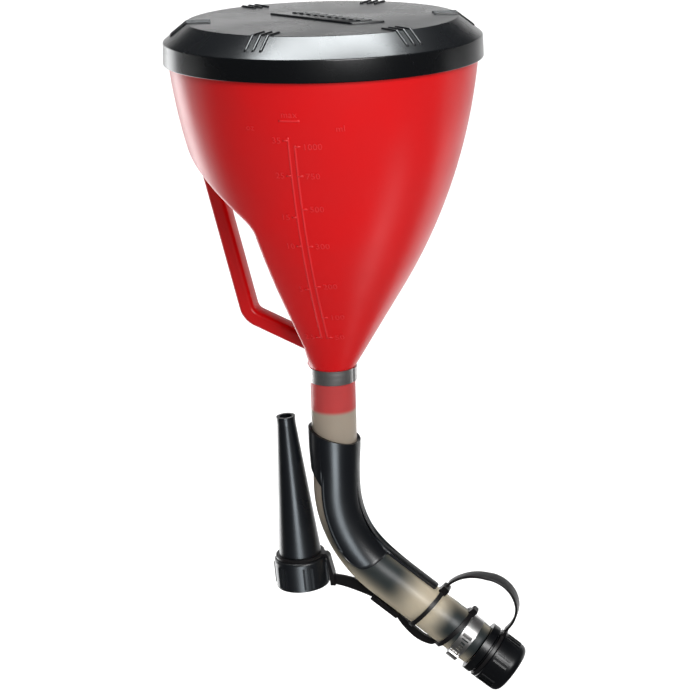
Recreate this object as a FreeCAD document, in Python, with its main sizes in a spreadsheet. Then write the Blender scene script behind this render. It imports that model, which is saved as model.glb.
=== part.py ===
import FreeCAD, Part
import Sketcher
import math
import os

# Oil funnel with a push-on lid, a bent outlet hose, a screw cap and a tethered nozzle.
# Millimetres. Origin: centre of the bowl's mouth. +Z up, +X towards the outlet, handle on -X.
# The handle, the hose's bend and the outlet all lie in the XZ plane.

DIMENSIONS = {
    # bowl: a cone that runs into a long arc, then a short rim
    "wall": 1.8,
    "rim_radius": 77.3,
    "rim_bead": 0.5,
    "rim_bead_height": 3.0,
    "shoulder_depth": 12.0,
    "shoulder_radius": 77.0,
    "join_depth": 126.1,
    "foot_depth": 170.1,
    "foot_radius": 12.4,
    "cone_angle": 30.95,
    "bowl_arc": 279.5,
    # finger recess behind the handle
    "recess_start_reach": 95.0,
    "recess_top_angle": 36.3,
    "recess_side_angle": 79.2,
    "recess_corner_round": 15.0,
    "recess_corner_depth": 83.7,
    "recess_corner_reach": 24.8,
    "recess_foot_depth": 156.5,
    "recess_end_depth": 168.0,
    "recess_end_reach": 12.0,
    # spout
    "spout_radius": 9.0,
    "spout_ring": 9.75,
    "spout_bore": 7.2,
    "spout_depth": 194.0,
    "spout_ring_pitch": 5.4,
    "spout_ring_width": 1.4,
    "spout_ring_taper": 1.6,
    # handle
    "handle_width": 12.0,
    "handle_thick": 8.0,
    "handle_top_depth": 48.0,
    "handle_top_reach": 70.6,
    "handle_corner_depth": 146.9,
    "handle_corner_reach": 47.0,
    "handle_foot_depth": 162.6,
    "handle_foot_reach": 10.2,
    "handle_outer_bend": 13.0,
    "handle_inner_bend": 5.0,
    "handle_edge_round": 2.0,
    # lid
    "lid_top": 11.0,
    "lid_top_radius": 67.5,
    "lid_bevel_height": 2.0,
    "lid_bevel_radius": 79.3,
    "lid_radius": 80.0,
    "lid_skirt_depth": 9.0,
    "lid_wall": 1.8,
    "lid_rib_rise": 0.8,
    "lid_rib_width": 1.3,
    "lid_rib_spacing": 4.0,
    "lid_rib_inner": 55.5,
    "lid_rib_outer": 75.4,
    "lid_first_group": 19.8,
    "lid_plate_rise": 0.75,
    "lid_plate_start_x": 30.5,
    "lid_plate_start_y": 10.1,
    "lid_plate_length": 61.3,
    "lid_plate_side": 17.6,
    "lid_plate_angle": 33.5,
    "lid_plate_slant": 30.0,
    # hose
    "hose_radius": 11.9,
    "hose_bore": 9.8,
    "corner_depth": 268.8,
    "bend_radius": 62.0,
    "bend_turn": 54.0,
    "hose_top_depth": 170.3,
    "hose_end": 95.2,
    # hose clamps
    "clamp_thick": 0.6,
    "clamp_ear_lean": 0.7,
    "clamp_ear_inset": 0.5,
    "upper_ear_angle": 80.0,
    "upper_ear_spread": 3.2,
    "upper_ear_rise": 3.4,
    "lower_ear_angle": 215.0,
    "lower_ear_spread": 3.0,
    "lower_ear_rise": 1.9,
    "clamp_window_across": 1.6,
    "clamp_window_length": 3.2,
    "upper_clamp_width": 7.8,
    "upper_clamp_middle": 174.2,
    "lower_clamp_width": 7.2,
    "lower_clamp_middle": 86.5,
    # elbow guide
    "guide_bore": 12.0,
    "guide_radius": 14.0,
    "guide_top_high": 204.0,
    "guide_top_low": 212.0,
    "guide_ring_foot": 225.5,
    "guide_chamfer_foot": 235.0,
    "trough_half_angle": 111.0,
    "trough_radius": 13.1,
    "wing_tip_reach": 8.0,
    "wing_tip_depth": 276.4,
    "wing_low_reach": 17.3,
    "wing_low_depth": 279.9,
    "wing_low_bend": 14.0,
    "wing_side_reach": 25.4,
    "wing_side_depth": 275.9,
    "wing_side_bend": 9.5,
    "wing_top_reach": 33.0,
    "wing_top_depth": 266.0,
    "spine_start_depth": 264.0,
    "spine_width": 6.5,
    "spine_end": 58.6,
    "spine_rise": 2.0,
    # outlet fitting
    "nipple_start": 68.0,
    "nipple_radius": 9.0,
    "nipple_barb": 9.75,
    "fitting_bore": 7.0,
    "barb_lead": 1.2,
    "barb_pitch": 6.0,
    "barb_slope": 3.2,
    "barb_flat": 0.6,
    "end_gap": 0.1,
    "flange_radius": 14.6,
    "flange_thick": 4.4,
    "thread_root": 10.6,
    "thread_height": 0.9,
    "thread_pitch": 3.0,
    "thread_turns": 2.5,
    "male_thread_lead": 2.6,
    "female_thread_lead": 3.6,
    "cap_thread_turns": 2.0,
    "neck_end": 112.5,
    # cap
    "cap_mouth": 100.2,
    "cap_groove": 12.6,
    "cap_groove_width": 2.0,
    "cap_rib_gap": 1.7,
    "cap_lip": 13.3,
    "cap_radius": 14.8,
    "cap_bore": 11.8,
    "cap_end": 118.6,
    "cap_dome": 3.4,
    "cap_rib_width": 1.0,
    "cap_rib_rise": 0.5,
    "cap_rib_spacing": 2.3,
    "seal_thick": 1.2,
    "seal_bore": 8.0,
    "seal_radius": 11.6,
    "seal_gap": 0.05,
    # tether rings and straps
    "ring_thick": 1.3,
    "ring_width": 2.2,
    "hose_loop_bore": 12.5,
    "cap_loop_place": 60.6,
    "cap_loop_tilt": 7.0,
    "nozzle_loop_place": 79.2,
    "nozzle_loop_tilt": 10.0,
    "head_corner": 0.8,
    "cap_head_rise": 4.6,
    "cap_head_width": 6.0,
    "cap_head_length": 4.4,
    "nozzle_head_rise": 4.4,
    "nozzle_head_width": 4.4,
    "nozzle_head_length": 3.6,
    "neck_ring_lead": 0.8,
    "neck_ring_width": 1.8,
    "neck_ring_play": 0.08,
    "lug_reach": 4.6,
    "lug_width": 5.6,
    "strap_thick": 1.4,
    "strap_width": 7.0,
    "arch_start_reach": 62.6,
    "arch_start_depth": 289.5,
    "arch_crown_reach": 82.0,
    "arch_crown_depth": 283.3,
    "arch_end_reach": 91.8,
    "arch_end_depth": 313.6,
    "arch_left_bend": 33.4,
    "arch_right_bend": 17.0,
    "arch_last_bend": 20.0,
    "nozzle_ring_thick": 1.4,
    "arm_gap": 0.9,
    "arm_thick": 2.8,
    "arm_width": 5.0,
    "arm_drop": 17.2,
    "arm_bend": 3.2,
    "web_near_reach": 1.3,
    "web_level_reach": 7.5,
    "web_far_reach": 19.4,
    "web_top_depth": 289.9,
    "web_far_depth": 299.2,
    "web_height": 6.6,
    "web_bend": 76.0,
    "web_thick": 1.8,
    "pad_gap": 0.4,
    "pad_start": 34.0,
    "pad_end": 51.5,
    "pad_width": 9.0,
    "pad_thick": 2.9,
    "bow_reach": 19.0,
    "bow_outer_bend": 40.0,
    "bow_end_bend": 20.0,
    "bow_inner_bend": 16.0,
    "bow_width": 2.2,
    # nozzle
    "nozzle_across": 20.0,
    "nozzle_depth": 296.6,
    "nozzle_lean": 4.0,
    "nozzle_collar": 14.5,
    "nozzle_collar_height": 16.5,
    "nozzle_collar_round": 1.5,
    "nozzle_rib_lead": 1.4,
    "nozzle_groove_width": 1.7,
    "nozzle_neck": 11.3,
    "nozzle_tip_radius": 5.0,
    "nozzle_lip": 0.1,
    "nozzle_land": 4.6,
    "nozzle_length": 96.5,
    "nozzle_wall": 1.6,
}

FULL_TURN = 360.0
RIB_GROUPS = 6
RIBS_IN_GROUP = 3
SPOUT_RINGS = 3
NIPPLE_BARBS = 4
CLAMP_WINDOW_ANGLES = (250.0, 270.0, 290.0)
THROUGH = 200.0
OVERLAP = 1.0
EDGE_BREAK = 0.3


class Size:
    """A number from the sheet, with the expression that leads back to its cells."""

    def __init__(self, value, text):
        self.value = value
        self.text = text

    def _with(self, other, sign, work, swap=False):
        known = other if isinstance(other, Size) else Size(float(other), repr(float(other)))
        first, second = (known, self) if swap else (self, known)
        return Size(work(first.value, second.value), f"({first.text} {sign} {second.text})")

    def __add__(self, other):
        return self._with(other, "+", lambda a, b: a + b)

    def __radd__(self, other):
        return self._with(other, "+", lambda a, b: a + b, swap=True)

    def __sub__(self, other):
        return self._with(other, "-", lambda a, b: a - b)

    def __rsub__(self, other):
        return self._with(other, "-", lambda a, b: a - b, swap=True)

    def __mul__(self, other):
        return self._with(other, "*", lambda a, b: a * b)

    def __rmul__(self, other):
        return self._with(other, "*", lambda a, b: a * b, swap=True)

    def __truediv__(self, other):
        return self._with(other, "/", lambda a, b: a / b)

    def __neg__(self):
        return Size(-self.value, f"(0 - {self.text})")


def sine(angle):
    return Size(math.sin(math.radians(angle.value)), f"sin({angle.text})")


def cosine(angle):
    return Size(math.cos(math.radians(angle.value)), f"cos({angle.text})")


def tangent(angle):
    return Size(math.tan(math.radians(angle.value)), f"tan({angle.text})")


def number(size):
    return size.value if isinstance(size, Size) else float(size)


doc = FreeCAD.newDocument("Funnel")
sheet = doc.addObject("Spreadsheet::Sheet", "Dims")
for row, (alias, value) in enumerate(DIMENSIONS.items(), start=1):
    sheet.set(f"A{row}", alias)
    sheet.set(f"B{row}", str(value))
    sheet.setAlias(f"B{row}", alias)
doc.recompute()


def dim(alias):
    return Size(float(sheet.get(alias)), f"Dims.{alias}")


def set_size(item, name, size):
    """Binds a property to the sheet when its size comes from there."""
    if isinstance(size, Size):
        item.setExpression(name, size.text)
    else:
        setattr(item, name, size)


# ---------------------------------------------------------------- sketches and features

def new_body(name):
    body = doc.addObject("PartDesign::Body", name)
    body.Label = name
    return body


def new_sketch(body, role, name):
    plane = next(f for f in body.Origin.OriginFeatures if f.Role == role)
    sketch = body.newObject("Sketcher::SketchObject", name)
    sketch.AttachmentSupport = (plane, [""])
    sketch.MapMode = "FlatFace"
    return sketch


def constrain(sketch, name, size, *where):
    """Adds a driving size and binds it to the sheet."""
    index = sketch.addConstraint(Sketcher.Constraint(*where, number(size)))
    if isinstance(size, Size):
        sketch.renameConstraint(index, name)
        sketch.setExpression(f"Constraints.{name}", size.text)


def arc_between(start, end, radius):
    """The shorter arc from start to end. A positive radius turns left, a negative one right."""
    turn = 1.0 if radius > 0 else -1.0
    chord = end - start
    height = math.sqrt(max(radius * radius - chord.Length ** 2 / 4.0, 0.0))
    side = FreeCAD.Vector(-chord.y, chord.x, 0).normalize()
    centre = (start + end) * 0.5 + side * (height * turn)
    first, last = (start, end) if turn > 0 else (end, start)
    begin = math.atan2(first.y - centre.y, first.x - centre.x)
    stop = math.atan2(last.y - centre.y, last.x - centre.x)
    if stop < begin:
        stop += 2.0 * math.pi
    circle = Part.Circle(centre, FreeCAD.Vector(0, 0, 1), abs(radius))
    return Part.ArcOfCircle(circle, begin, stop)


def draw(sketch, points, closed=True):
    """An outline through points (x, y) or (x, y, radius), where an arc of that radius leads to the point."""
    places = [FreeCAD.Vector(number(p[0]), number(p[1]), 0) for p in points]
    ends = []
    count = len(points)
    steps = range(count if closed else count - 1)
    for step in steps:
        start = places[step]
        end = places[(step + 1) % count]
        target = points[(step + 1) % count]
        if len(target) == 3:
            radius = number(target[2])
            index = sketch.addGeometry(arc_between(start, end, radius), False)
            ends.append((index, 1, 2) if radius > 0 else (index, 2, 1))
            size = target[2] if radius > 0 else -1.0 * target[2]
            constrain(sketch, f"arc{step}", size, "Radius", index)
        else:
            index = sketch.addGeometry(Part.LineSegment(start, end), False)
            ends.append((index, 1, 2))
    for step in range(len(ends) if closed else len(ends) - 1):
        index, _, last = ends[step]
        following, first, _ = ends[(step + 1) % len(ends)]
        sketch.addConstraint(Sketcher.Constraint("Coincident", index, last, following, first))
    for step, point in enumerate(points):
        if step < len(ends):
            index, vertex = ends[step][0], ends[step][1]
        else:
            index, vertex = ends[-1][0], ends[-1][2]
        constrain(sketch, f"across{step}", point[0], "DistanceX", -1, 1, index, vertex)
        constrain(sketch, f"up{step}", point[1], "DistanceY", -1, 1, index, vertex)


def draw_circle(sketch, radius, name="round", across=0.0, up=0.0):
    centre = FreeCAD.Vector(number(across), number(up), 0)
    circle = Part.Circle(centre, FreeCAD.Vector(0, 0, 1), number(radius))
    index = sketch.addGeometry(circle, False)
    constrain(sketch, f"{name}_across", across, "DistanceX", -1, 1, index, 3)
    constrain(sketch, f"{name}_up", up, "DistanceY", -1, 1, index, 3)
    constrain(sketch, name, radius, "Radius", index)


def revolve(body, name, points):
    """Turns an outline (radius, height) about the body's Z axis."""
    sketch = new_sketch(body, "XZ_Plane", f"{name}_outline")
    draw(sketch, points)
    turned = body.newObject("PartDesign::Revolution", name)
    turned.Profile = sketch
    turned.ReferenceAxis = (sketch, ["V_Axis"])
    turned.Angle = FULL_TURN
    sketch.Visibility = False
    doc.recompute()
    return turned


def pad(body, name, role, points, length, symmetric=True, feature="PartDesign::Pad", offset=0.0):
    """Pads or pockets an outline drawn on one of the body's origin planes."""
    sketch = new_sketch(body, role, f"{name}_outline")
    if number(offset):
        sketch.AttachmentOffset = FreeCAD.Placement(FreeCAD.Vector(0, 0, number(offset)), FreeCAD.Rotation())
    draw(sketch, points)
    item = body.newObject(feature, name)
    item.Profile = sketch
    set_size(item, "Length", length)
    item.SideType = "Symmetric" if symmetric else "One side"
    sketch.Visibility = False
    doc.recompute()
    return item


def pocket(body, name, role, points, length):
    """Cuts through both ways, and makes sure that something was cut."""
    before = body.Shape.Volume
    item = pad(body, name, role, points, length, feature="PartDesign::Pocket")
    if body.Shape.Volume > before - 0.01:
        raise RuntimeError(f"{name} cuts nothing")
    return item


def round_edges(body, name, radius, chosen):
    """Fillets the edges of the body's last feature that pass the test."""
    tip = body.Tip
    names = [f"Edge{i}" for i, edge in enumerate(tip.Shape.Edges, start=1) if chosen(edge)]
    if not names:
        raise RuntimeError(f"{name} finds no edges")
    item = body.newObject("PartDesign::Fillet", name)
    item.Base = (tip, names)
    set_size(item, "Radius", radius)
    doc.recompute()
    return item


def combine(kind, name, base, tool):
    item = doc.addObject(kind, name)
    if kind == "Part::MultiFuse":
        item.Shapes = [base] + tool
    else:
        item.Base = base
        item.Tool = tool
    item.Label = name
    doc.recompute()
    return item


def tube_sector(inner, outer, half_angle):
    """Outline of a ring sector that opens towards -X, centred on +X."""
    outer_x = outer * cosine(half_angle)
    outer_y = outer * sine(half_angle)
    inner_x = inner * cosine(half_angle)
    inner_y = inner * sine(half_angle)
    return [
        (inner_x, -inner_y, -1.0 * inner),
        (outer_x, -outer_y),
        (outer, 0.0, outer),
        (outer_x, outer_y, outer),
        (inner_x, inner_y),
        (inner, 0.0, -1.0 * inner),
    ]


# ---------------------------------------------------------------- frames of the slanting pieces

down_angle = 90.0 - dim("bend_turn")
bend_reach = dim("bend_radius") * tangent(dim("bend_turn") / 2.0)

# Local +Z runs along the outlet, local +X points up and out of the bend, and the origin is where
# the hose's two straight lines meet.
outlet_place = FreeCAD.Placement(
    FreeCAD.Vector(0, 0, -DIMENSIONS["corner_depth"]),
    FreeCAD.Rotation(FreeCAD.Vector(0, 1, 0), 180.0 - number(dim("bend_turn")))
    * FreeCAD.Rotation(FreeCAD.Vector(0, 0, 1), 180.0),
)

# Local +Z runs up the nozzle from the middle of its open collar.
nozzle_place = FreeCAD.Placement(
    FreeCAD.Vector(-DIMENSIONS["nozzle_across"], 0, -DIMENSIONS["nozzle_depth"]),
    FreeCAD.Rotation(FreeCAD.Vector(0, 1, 0), -DIMENSIONS["nozzle_lean"]),
)

parts = []


def keep(item, place=None):
    """Marks an object as one of the funnel's own pieces."""
    if place is not None:
        item.Placement = place
    parts.append(item)
    return item


# ---------------------------------------------------------------- funnel body

def bowl_join_radius(inset):
    """Radius where cone and arc meet, for the surface that lies inset inside the outer one."""
    rise = dim("foot_depth") - dim("join_depth")
    return dim("foot_radius") + tangent(dim("cone_angle")) * rise - inset


def recess_outline(inset):
    """The finger recess seen from the side, moved inset into the bowl's wall."""
    far = -1.0 * dim("recess_start_reach")
    gentle = dim("recess_top_angle")
    steep = dim("recess_side_angle")
    bend = dim("recess_corner_round") + inset
    reach = dim("recess_corner_round") * tangent((steep - gentle) / 2.0)
    corner_x = -1.0 * dim("recess_corner_reach")
    corner_z = -1.0 * dim("recess_corner_depth")
    gentle_x = corner_x + inset * sine(gentle)
    gentle_z = corner_z + inset * cosine(gentle)
    steep_x = corner_x + inset * sine(steep)
    steep_z = corner_z + inset * cosine(steep)
    top = (corner_x - far) / cosine(gentle)
    foot = (dim("recess_foot_depth") - dim("recess_corner_depth")) / sine(steep)
    end = -1.0 * dim("recess_end_depth")
    return [
        (gentle_x - top * cosine(gentle), gentle_z + top * sine(gentle)),
        (gentle_x - reach * cosine(gentle), gentle_z + reach * sine(gentle)),
        (steep_x + reach * cosine(steep), steep_z - reach * sine(steep), -1.0 * bend),
        (steep_x + foot * cosine(steep), steep_z - foot * sine(steep)),
        (-1.0 * dim("recess_end_reach") + inset, end),
        (gentle_x - top * cosine(gentle), end),
    ]


def make_funnel_body():
    wall = dim("wall")
    slant_wall = wall / cosine(dim("cone_angle"))
    foot = -1.0 * dim("foot_depth")
    join = -1.0 * dim("join_depth")
    shoulder = -1.0 * dim("shoulder_depth")
    taper = dim("spout_ring_taper")
    ring_low = taper - dim("spout_depth")
    ring_width = dim("spout_ring_width")
    outline = [
        (0.0, -1.0 * dim("spout_depth")),
        (dim("spout_radius"), -1.0 * dim("spout_depth")),
    ]
    for turn in range(SPOUT_RINGS):
        level = ring_low + dim("spout_ring_pitch") * float(turn)
        outline += [
            (dim("spout_radius"), level),
            (dim("spout_ring"), level + EDGE_BREAK),
            (dim("spout_ring"), level + ring_width),
            (dim("spout_radius"), level + ring_width + taper),
        ]
    outline += [
        (dim("spout_radius"), foot),
        (dim("foot_radius"), foot),
        (bowl_join_radius(0.0), join),
        (dim("shoulder_radius"), shoulder, dim("bowl_arc")),
        (dim("rim_radius"), -1.0 * dim("rim_bead_height")),
        (dim("rim_radius") + dim("rim_bead"), dim("rim_bead") - dim("rim_bead_height")),
        (dim("rim_radius") + dim("rim_bead"), 0.0),
        (0.0, 0.0),
    ]
    outer = new_body("bowl_outside")
    revolve(outer, "bowl_turned", outline)
    pocket(outer, "recess_cut", "XZ_Plane", recess_outline(Size(0.0, "0")), THROUGH)

    cavity = new_body("bowl_cavity")
    revolve(cavity, "cavity_turned", [
        (0.0, -1.0 * dim("spout_depth") - OVERLAP),
        (dim("spout_bore"), -1.0 * dim("spout_depth") - OVERLAP),
        (dim("spout_bore"), foot + dim("wall")),
        (bowl_join_radius(slant_wall), join),
        (dim("shoulder_radius") - wall, shoulder, dim("bowl_arc")),
        (dim("rim_radius") - wall, -1.0 * dim("rim_bead_height")),
        (dim("rim_radius") - wall, OVERLAP),
        (0.0, OVERLAP),
    ])
    pocket(cavity, "cavity_recess", "XZ_Plane", recess_outline(wall), THROUGH)

    handle = make_handle_bar()
    solid = combine("Part::MultiFuse", "bowl_with_handle", outer, [handle])
    body = combine("Part::Cut", "funnel_body", solid, cavity)
    return keep(body)


def make_handle_bar():
    """Loop handle: a bar bent once, drawn as its side view."""
    thick = dim("handle_thick")
    top_x = -1.0 * dim("handle_top_reach")
    top_z = -1.0 * dim("handle_top_depth")
    corner_x = -1.0 * dim("handle_corner_reach")
    corner_z = -1.0 * dim("handle_corner_depth")
    foot_x = -1.0 * dim("handle_foot_reach")
    foot_z = -1.0 * dim("handle_foot_depth")
    upper = math.atan2(number(corner_x - top_x), number(top_z - corner_z))
    lower = math.atan2(number(corner_z - foot_z), number(foot_x - corner_x))
    turn = math.pi / 2.0 - upper - lower
    across_upper = math.cos(upper)
    fall_upper = math.sin(upper)
    across_lower = math.sin(lower)
    rise_lower = math.cos(lower)
    step = math.tan(turn / 2.0)
    outer_reach = dim("handle_outer_bend") * step
    inner_reach = dim("handle_inner_bend") * step
    inner_corner_x = corner_x + thick * (across_upper + fall_upper * step)
    inner_corner_z = corner_z + thick * (fall_upper + across_upper * step)
    body = new_body("handle_bar")
    pad(body, "handle_side", "XZ_Plane", [
        (top_x, top_z),
        (corner_x - outer_reach * fall_upper, corner_z + outer_reach * across_upper),
        (corner_x + outer_reach * rise_lower, corner_z - outer_reach * across_lower, dim("handle_outer_bend")),
        (foot_x, foot_z),
        (foot_x + thick * across_lower, foot_z + thick * rise_lower),
        (inner_corner_x + inner_reach * rise_lower, inner_corner_z - inner_reach * across_lower),
        (inner_corner_x - inner_reach * fall_upper, inner_corner_z + inner_reach * across_upper,
         -1.0 * dim("handle_inner_bend")),
        (top_x + thick * across_upper, top_z + thick * fall_upper),
    ], dim("handle_width"))
    slack = 0.01
    end_zone = 2.0
    half = DIMENSIONS["handle_width"] / 2.0
    upper_end = -DIMENSIONS["handle_top_depth"] - end_zone
    lower_end = -DIMENSIONS["handle_foot_reach"] - end_zone / 2.0

    def along_side(edge):
        box = edge.BoundBox
        flat = box.YLength < slack and abs(abs(box.Center.y) - half) < slack
        buried = box.ZMin > upper_end or box.XMin > lower_end
        return flat and not buried

    round_edges(body, "handle_edges", dim("handle_edge_round"), along_side)
    return body


# ---------------------------------------------------------------- lid

def make_lid():
    wall = dim("lid_wall")
    top = dim("lid_top")
    brim = dim("lid_bevel_height")
    brow = dim("lid_bevel_radius")
    crown = dim("lid_top_radius")
    lift = dim("lid_rib_rise")
    fall = (top - brim) / (brow - crown)
    body = new_body("lid_shell")
    revolve(body, "lid_turned", [
        (0.0, top),
        (0.0, top - wall),
        (crown - 0.6, top - wall),
        (brow - 1.5, brim - 1.7),
        (dim("lid_radius") - 1.7, -1.0 * dim("lid_skirt_depth")),
        (dim("lid_radius"), -1.0 * dim("lid_skirt_depth")),
        (brow + 0.2, brim - 0.6),
        (brow - 0.4, brim + EDGE_BREAK),
        (crown + 0.5, top - EDGE_BREAK),
        (crown - 0.6, top),
    ])
    rib_end = dim("lid_rib_outer")
    drop = (rib_end - crown) * fall
    band = new_body("lid_rib_band")
    revolve(band, "rib_band_turned", [
        (dim("lid_rib_inner"), top - wall / 2.0),
        (crown - OVERLAP, top - wall / 2.0),
        (rib_end, top - drop - 1.2),
        (rib_end + 0.6, top - drop + 0.1),
        (crown + EDGE_BREAK, top + lift),
        (dim("lid_rib_inner") + 0.6, top + lift),
    ])
    grid = combine("Part::MultiFuse", "lid_rib_slabs", *lid_rib_slabs())
    ribs = combine("Part::Common", "lid_ribs", band, grid)
    return keep(combine("Part::MultiFuse", "lid", body, [ribs, make_lid_plate()]))


def make_lid_plate():
    """The low slanted plate on the lid's top."""
    start_x = -1.0 * dim("lid_plate_start_x")
    start_y = dim("lid_plate_start_y")
    along_x = dim("lid_plate_length") * cosine(dim("lid_plate_angle"))
    along_y = -1.0 * dim("lid_plate_length") * sine(dim("lid_plate_angle"))
    side_x = dim("lid_plate_side") * cosine(dim("lid_plate_slant"))
    side_y = dim("lid_plate_side") * sine(dim("lid_plate_slant"))
    sink = dim("lid_wall") / 2.0
    plate = new_body("lid_plate")
    pad(plate, "plate_outline", "XY_Plane", [
        (start_x, start_y),
        (start_x + along_x, start_y + along_y),
        (start_x + along_x + side_x, start_y + along_y + side_y),
        (start_x + side_x, start_y + side_y),
    ], dim("lid_plate_rise") + sink, symmetric=False, offset=dim("lid_top") - sink)
    return plate


def lid_rib_slabs():
    """Upright slabs that cut the rib band into groups of three ribs: the first, and a list of the others."""
    before_band = 2.0
    below_band = 5.0
    slabs = []
    for group in range(RIB_GROUPS):
        angle = DIMENSIONS["lid_first_group"] + group * FULL_TURN / RIB_GROUPS
        for rib in range(RIBS_IN_GROUP):
            slab = doc.addObject("Part::Box", f"lid_rib_{group}_{rib}")
            set_size(slab, "Length", dim("lid_rib_outer") - dim("lid_rib_inner") + 3.0 * before_band)
            set_size(slab, "Width", dim("lid_rib_width"))
            set_size(slab, "Height", 4.0 * below_band)
            side = (rib - 1) * DIMENSIONS["lid_rib_spacing"] - DIMENSIONS["lid_rib_width"] / 2.0
            turned = FreeCAD.Rotation(FreeCAD.Vector(0, 0, 1), angle)
            start = FreeCAD.Vector(DIMENSIONS["lid_rib_inner"] - before_band, side, -below_band)
            slab.Placement = FreeCAD.Placement(turned.multVec(start), turned)
            slabs.append(slab)
    return slabs[0], slabs[1:]


# ---------------------------------------------------------------- hose and its clamps

def hose_path(body, name, start, finish):
    """Centre line of the hose from a height start, down, round the bend and on to finish."""
    sketch = new_sketch(body, "XZ_Plane", name)
    bend_top = bend_reach - dim("corner_depth")
    corner = -1.0 * dim("corner_depth")
    across = cosine(down_angle)
    fall = sine(down_angle)
    draw(sketch, [
        (0.0, start),
        (0.0, bend_top),
        (bend_reach * across, corner - bend_reach * fall, dim("bend_radius")),
        (finish * across, corner - finish * fall),
    ], closed=False)
    sketch.Visibility = False
    return sketch


def sweep(body, name, points, path, start, feature="PartDesign::AdditivePipe"):
    """Sweeps an outline, drawn in the level plane at height start, along a path."""
    sketch = new_sketch(body, "XY_Plane", f"{name}_section")
    offset = FreeCAD.Placement(FreeCAD.Vector(0, 0, number(start)), FreeCAD.Rotation())
    sketch.AttachmentOffset = offset
    if callable(points):
        points(sketch)
    else:
        draw(sketch, points)
    pipe = body.newObject(feature, name)
    pipe.Profile = sketch
    pipe.Spine = path
    sketch.Visibility = False
    doc.recompute()
    return pipe


def make_hose():
    start = -1.0 * dim("hose_top_depth")
    body = new_body("hose")
    path = hose_path(body, "hose_line", start, dim("hose_end"))
    sweep(body, "hose_outside", lambda sketch: draw_circle(sketch, dim("hose_radius")), path, start)
    outside = body.Shape.Volume
    sweep(body, "hose_inside", lambda sketch: draw_circle(sketch, dim("hose_bore")), path, start,
          feature="PartDesign::SubtractivePipe")
    if body.Shape.Volume > outside * 0.5:
        raise RuntimeError("the hose has no bore")
    return keep(body)


def clamp_band(body, width, low):
    """A plain strip bent round the hose."""
    inner = dim("hose_radius")
    revolve(body, f"{body.Name}_band", [
        (inner, low),
        (inner + dim("clamp_thick"), low + 0.1),
        (inner + dim("clamp_thick"), low + width - 0.1),
        (inner, low + width),
    ])


def clamp_ear(body, name, direction, low, width, spread, rise):
    """The pinched ear that closes a clamp: a hollow hump on the band, spread to each side of its middle."""
    thick = DIMENSIONS["clamp_thick"]
    lean = DIMENSIONS["clamp_ear_lean"]
    foot = DIMENSIONS["hose_radius"] + thick / 2.0
    crest = foot + rise
    outline = [
        (-spread, foot),
        (lean - spread, crest),
        (spread - lean, crest),
        (spread, foot),
        (spread - thick - EDGE_BREAK, foot),
        (spread - lean - thick, crest - thick),
        (lean + thick - spread, crest - thick),
        (thick + EDGE_BREAK - spread, foot),
    ]
    turn = math.radians(direction - 90.0)
    turned = [
        (x * math.cos(turn) - y * math.sin(turn), x * math.sin(turn) + y * math.cos(turn))
        for x, y in outline
    ]
    pad(body, name, "XY_Plane", turned, width, symmetric=False, offset=low)


def add_ear(body, clamp, low, width):
    """Puts one clamp's ear on its band, a little narrower than the band."""
    inset = dim("clamp_ear_inset")
    clamp_ear(body, f"{clamp}_ear", DIMENSIONS[f"{clamp}_ear_angle"], low + inset, width - 2.0 * inset,
              DIMENSIONS[f"{clamp}_ear_spread"], DIMENSIONS[f"{clamp}_ear_rise"])


def make_upper_clamp():
    width = dim("upper_clamp_width")
    low = -1.0 * dim("upper_clamp_middle") - width / 2.0
    body = new_body("upper_hose_clamp")
    clamp_band(body, width, low)
    add_ear(body, "upper", low, width)
    return keep(body)


def make_lower_clamp():
    width = dim("lower_clamp_width")
    low = dim("lower_clamp_middle") - width / 2.0
    body = new_body("lower_clamp_band")
    clamp_band(body, width, low)
    add_ear(body, "lower", low, width)
    across = dim("clamp_window_across")
    length = dim("clamp_window_length")
    corner = FreeCAD.Vector(DIMENSIONS["hose_radius"] - OVERLAP, -number(across) / 2.0,
                            number(dim("lower_clamp_middle") - length / 2.0))
    windows = []
    for angle in CLAMP_WINDOW_ANGLES:
        window = doc.addObject("Part::Box", f"clamp_window_{int(angle)}")
        set_size(window, "Length", 4.0 * OVERLAP)
        set_size(window, "Width", across)
        set_size(window, "Height", length)
        turned = FreeCAD.Rotation(FreeCAD.Vector(0, 0, 1), angle)
        window.Placement = FreeCAD.Placement(turned.multVec(corner), turned)
        windows.append(window)
    cutter = combine("Part::MultiFuse", "clamp_windows", windows[0], windows[1:])
    return keep(combine("Part::Cut", "lower_hose_clamp", body, cutter), outlet_place)


# ---------------------------------------------------------------- elbow guide

def make_guide_ring(inner, outer):
    """The sleeve round the hose at the guide's top, slanting above and chamfered at the back below."""
    top = -1.0 * dim("guide_top_high")
    front_top = -1.0 * dim("guide_top_low")
    foot = -1.0 * dim("guide_chamfer_foot")
    beyond = outer + OVERLAP
    ring = new_body("guide_ring")
    revolve(ring, "guide_ring_turned", [(inner, foot), (outer, foot), (outer, top), (inner, top)])
    pocket(ring, "guide_slant_top", "XZ_Plane", [
        (-1.0 * outer, top),
        (outer, front_top),
        (beyond, front_top),
        (beyond, top + OVERLAP),
        (-1.0 * outer, top + OVERLAP),
    ], THROUGH)
    trough_edge = outer * cosine(dim("trough_half_angle"))
    pocket(ring, "guide_chamfer", "XZ_Plane", [
        (-1.0 * beyond, -1.0 * dim("guide_ring_foot")),
        (trough_edge, foot),
        (trough_edge, foot - OVERLAP),
        (-1.0 * beyond, foot - OVERLAP),
    ], THROUGH)
    return ring


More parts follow.
